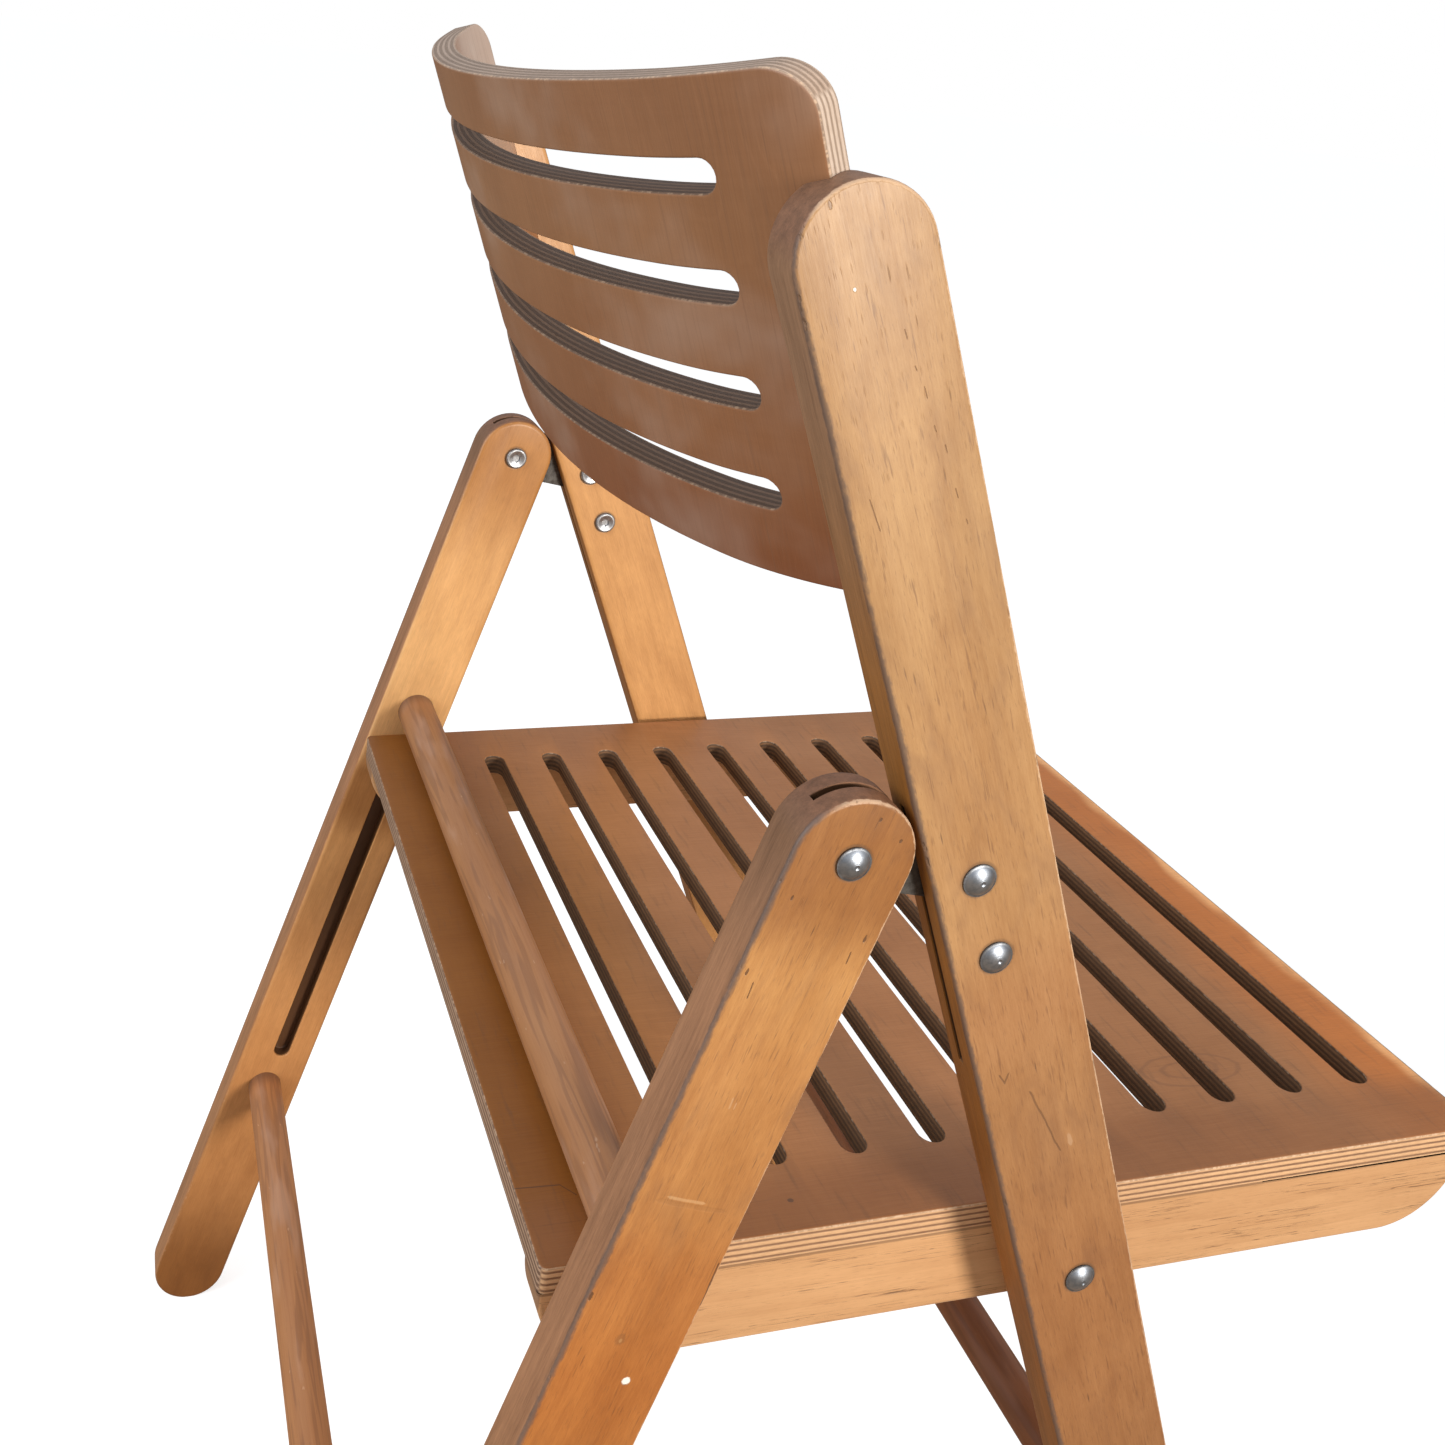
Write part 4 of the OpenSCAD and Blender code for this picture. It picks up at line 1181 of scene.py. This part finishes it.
def dowel_material(name, centre_pt, seed, light_and_shade_tints):
    sh = Shade(name)
    light, dark, endc = WOOD["dowel"]
    x, y, z = sh.place()
    C, Z = y - centre_pt[0], z - centre_pt[1]
    g = grain(sh, x, C, Z, 34.0, 21.0, 3.1, seed, 0.8)
    wavy = sh.noise(x * 0.011, C * 0.16, Z * 0.16 + seed, 2.0, 0.5, 0.3)
    dk = (wavy.step(0.55, 0.62) * wavy.step(0.72, 0.66)).max(wavy.step(0.44, 0.40) * wavy.step(0.30, 0.35))
    t = (g["cloud"] - 0.5) * 1.2 + (g["streak"] - 0.5) * 0.7 + g["late"] * 0.22 + 0.40
    col = sh.mix(t.clamp(), light, dark)
    col = sh.mix(dk * 0.46, col, (0.24, 0.118, 0.062))
    col = sh.mix(g["pore"] * 0.25, col, (0.26, 0.125, 0.060))
    col = sh.mix(g["fleck"] * 0.5, col, (0.16, 0.075, 0.040))
    # pale mauve patches, partly rubbing and partly a painted highlight; pale nicks; the per-dowel tint factors add
    # painted light and shade
    rub = sh.noise(x * 0.016, C * 0.07, Z * 0.07 + seed * 2.0, 3.0, 0.6)
    col = sh.mix(rub.step(0.52, 0.75) * 0.42, col, (0.60, 0.415, 0.320))
    nk = sh.noise(x * 0.12, C * 0.3, Z * 0.3 + seed, 2.0, 0.7).step(0.70, 0.76)
    col = sh.mix(nk * 0.45, col, (0.66, 0.46, 0.31))
    col = sh.mix(1.0, col, sh.mix(rub, light_and_shade_tints[0], light_and_shade_tints[1]), "MULTIPLY")
    # darker towards the ends where the dowel meets the boards: painted shade
    root_shade = abs(x).step(184.0, 196.0)
    col = sh.mix(root_shade * 0.62, col, (0.11, 0.062, 0.040))
    height = (g["streak"] - 0.5) * 0.35 + (g["fibre"] - 0.5) * 0.2 - g["fleck"] * 0.6 - g["late"] * 0.10 - nk * 0.5
    rough = (g["streak"] - 0.5) * 0.14 + (rub - 0.5) * 0.16 + 0.44
    return sh.finish(col, rough, height, dist=0.00014)


def metal_material(name, light, dark, rough0, centres=None, axis_x=True, metallic=1.0, dirt=0.5, tint=(0.09, 0.08, 0.07)):
    sh = Shade(name)
    x, y, z = sh.place()
    n1 = sh.noise(x * 0.35, y * 0.35, z * 0.35, 3.0, 0.6)
    n2 = sh.noise(x * 2.6, y * 2.6, z * 2.6, 2.0, 0.6)
    col = sh.mix(n1.step(0.3, 0.7), light, dark)
    height = (n2 - 0.5) * 0.35 + (n1 - 0.5) * 0.3
    rough = (n2 - 0.5) * 0.16 + (n1 - 0.5) * 0.16 + rough0
    if centres:
        # a dark ring at the rim of each nut and bolt head: painted shade, with some grime; the dirt argument sets how
        # dark it is
        for c, rim in centres:
            a, b = y - c[0], z - c[1]
            r = (a * a + b * b).sqrt()
            near = r.step(rim + 1.5, rim + 1.0)
            rim_shade = r.step(rim - 1.4, rim - 0.15) * near * (n1.step(0.25, 0.6) * 0.5 + 0.5)
            col = sh.mix(rim_shade * dirt, col, tint)
            rough = rough + rim_shade * 0.18
    return sh.finish(col, rough, height, dist=0.00005, Metallic=metallic)


rail_mat = rail_material()
nut_centres = [(pb1, 6.0), (pb2, 6.0), (P, 6.0), (S, 6.0)]
nut_mat = metal_material("zinc_dome", (0.370, 0.410, 0.475), (0.235, 0.265, 0.315), 0.40, nut_centres, dirt=0.72)
bolt_mat = metal_material("zinc_bolt", (0.520, 0.540, 0.580), (0.350, 0.368, 0.400), 0.42, nut_centres[:3], dirt=0.60)
steel_mat = metal_material("plain_steel", (0.50, 0.50, 0.50), (0.34, 0.335, 0.33), 0.42)
plate_mat = metal_material("plate_steel_dull", (0.150, 0.145, 0.140), (0.075, 0.070, 0.066), 0.58)

for side in ("left", "right"):
    give(made[side + "_post"], post_mat)
    give(made[side + "_leg"], leg_mat)
    give(made[side + "_rail"], rail_mat)
for i, (ob, c) in enumerate(dowels.values()):
    # per-dowel tint factors: the lower dowel lightened as painted light, the front dowel darkened as painted shade
    # under the seat
    light_and_shade_tints = (((1.06, 1.00, 0.98), (0.92, 0.84, 0.80)), ((1.22, 1.08, 0.98), (0.98, 0.84, 0.72)), ((0.55, 0.39, 0.32), (0.40, 0.27, 0.21)))[i]
    give(ob, dowel_material("birch_dowel_%d" % (i + 1), c, 2.3 + 3.7 * i, light_and_shade_tints))
give(back, back_mat)
give(seat, seat_mat)
for ob in metal[:3]:
    give(ob, nut_mat)
for ob in metal[3:]:
    give(ob, bolt_mat)
give(frame["nodes"]["left_hinge_plate"], plate_mat)
give(frame["nodes"]["right_hinge_plate"], plate_mat)
for n_ in ("left_guide_pin", "right_guide_pin", "seat_pivot_spacers"):
    give(frame["nodes"][n_], steel_mat)

# ------------------------------------------------------------------ floor, light, camera

bm = bmesh.new()
bmesh.ops.create_grid(bm, x_segments=2, y_segments=2, size=30)
floor = new_object("floor", bm)
fm = bpy.data.materials.new("floor_pale")
fm.use_nodes = True
nt = fm.node_tree
nt.nodes.clear()
out = nt.nodes.new("ShaderNodeOutputMaterial")
mix = nt.nodes.new("ShaderNodeMixShader")
path = nt.nodes.new("ShaderNodeLightPath")
dim = nt.nodes.new("ShaderNodeBsdfDiffuse")
dim.inputs["Color"].default_value = (0.46, 0.34, 0.235, 1)
pale = nt.nodes.new("ShaderNodeAddShader")
lit = nt.nodes.new("ShaderNodeBsdfDiffuse")
lit.inputs["Color"].default_value = (0.62, 0.62, 0.62, 1)
glow = nt.nodes.new("ShaderNodeEmission")
glow.inputs["Strength"].default_value = 0.65
nt.links.new(lit.outputs[0], pale.inputs[0])
nt.links.new(glow.outputs[0], pale.inputs[1])
nt.links.new(path.outputs["Is Camera Ray"], mix.inputs[0])
nt.links.new(dim.outputs[0], mix.inputs[1])
nt.links.new(pale.outputs[0], mix.inputs[2])
nt.links.new(mix.outputs[0], out.inputs["Surface"])
give(floor, fm)

w = bpy.data.worlds.new("studio")
bpy.context.scene.world = w
w.use_nodes = True
nt = w.node_tree
nt.nodes.clear()
out = nt.nodes.new("ShaderNodeOutputWorld")
mix = nt.nodes.new("ShaderNodeMixShader")
path = nt.nodes.new("ShaderNodeLightPath")
coord = nt.nodes.new("ShaderNodeTexCoord")
sep = nt.nodes.new("ShaderNodeSeparateXYZ")
ramp = nt.nodes.new("ShaderNodeValToRGB")
ramp.color_ramp.elements[0].position = 0.0
ramp.color_ramp.elements[0].color = (0.46, 0.46, 0.47, 1)
ramp.color_ramp.elements[1].position = 0.8
ramp.color_ramp.elements[1].color = (0.86, 0.89, 0.94, 1)
sky = nt.nodes.new("ShaderNodeBackground")
sky.inputs["Strength"].default_value = 0.72
white = nt.nodes.new("ShaderNodeBackground")
white.inputs["Color"].default_value = (1, 1, 1, 1)
white.inputs["Strength"].default_value = 1.0
nt.links.new(coord.outputs["Generated"], sep.inputs[0])
nt.links.new(sep.outputs[2], ramp.inputs[0])
nt.links.new(ramp.outputs[0], sky.inputs["Color"])
nt.links.new(path.outputs["Is Camera Ray"], mix.inputs[0])
nt.links.new(sky.outputs[0], mix.inputs[1])
nt.links.new(white.outputs[0], mix.inputs[2])
nt.links.new(mix.outputs[0], out.inputs["Surface"])


def area(name, loc, target, size, power, col=(1, 1, 1)):
    li = bpy.data.lights.new(name, "AREA")
    li.shape = "DISK"
    li.size = size
    li.energy = power
    li.color = col
    ob = bpy.data.objects.new(name, li)
    bpy.context.scene.collection.objects.link(ob)
    ob.location = loc
    ob.rotation_euler = (Vector(target) - Vector(loc)).to_track_quat("-Z", "Y").to_euler()
    return ob


area("fill", (-1.0, 3.1, 1.75), (0, 0, 0.5), 1.8, 62, (0.96, 0.98, 1.0))

li = bpy.data.lights.new("key", "SPOT")
li.energy = 470
li.color = (1.0, 0.925, 0.82)
li.shadow_soft_size = 0.42
li.spot_size = 36 * D
li.spot_blend = 1.0
key = bpy.data.objects.new("key", li)
bpy.context.scene.collection.objects.link(key)
key.location = (-3.0, -1.15, 1.22)
key.rotation_euler = (Vector((0.0, 0.08, 0.70)) - Vector(key.location)).to_track_quat("-Z", "Y").to_euler()


cam = bpy.data.cameras.new("camera")
co = bpy.data.objects.new("camera", cam)
bpy.context.scene.collection.objects.link(co)
to_right = Vector((-0.2477, -0.9629, 0.1076)).normalized()
back_dir = -Vector((0.9270, -0.2678, -0.2626)).normalized()
up_dir = back_dir.cross(to_right).normalized()
rot = Matrix((to_right, up_dir, back_dir)).transposed().to_4x4()
co.matrix_world = Matrix.Translation((-0.55996, 0.30978, 0.82003)) @ rot
cam.sensor_fit = "HORIZONTAL"
cam.sensor_width = 36.0
cam.lens = 1425.0 / 1445.0 * 36.0
cam.shift_x = (722.5 - 503.951) / 1445.0
cam.shift_y = (419.418 - 722.5) / 1445.0
cam.clip_start = 0.01
cam.clip_end = 100
cam.dof.use_dof = False
bpy.context.scene.camera = co

bpy.context.scene.view_settings.view_transform = "Standard"
bpy.context.scene.view_settings.look = "None"
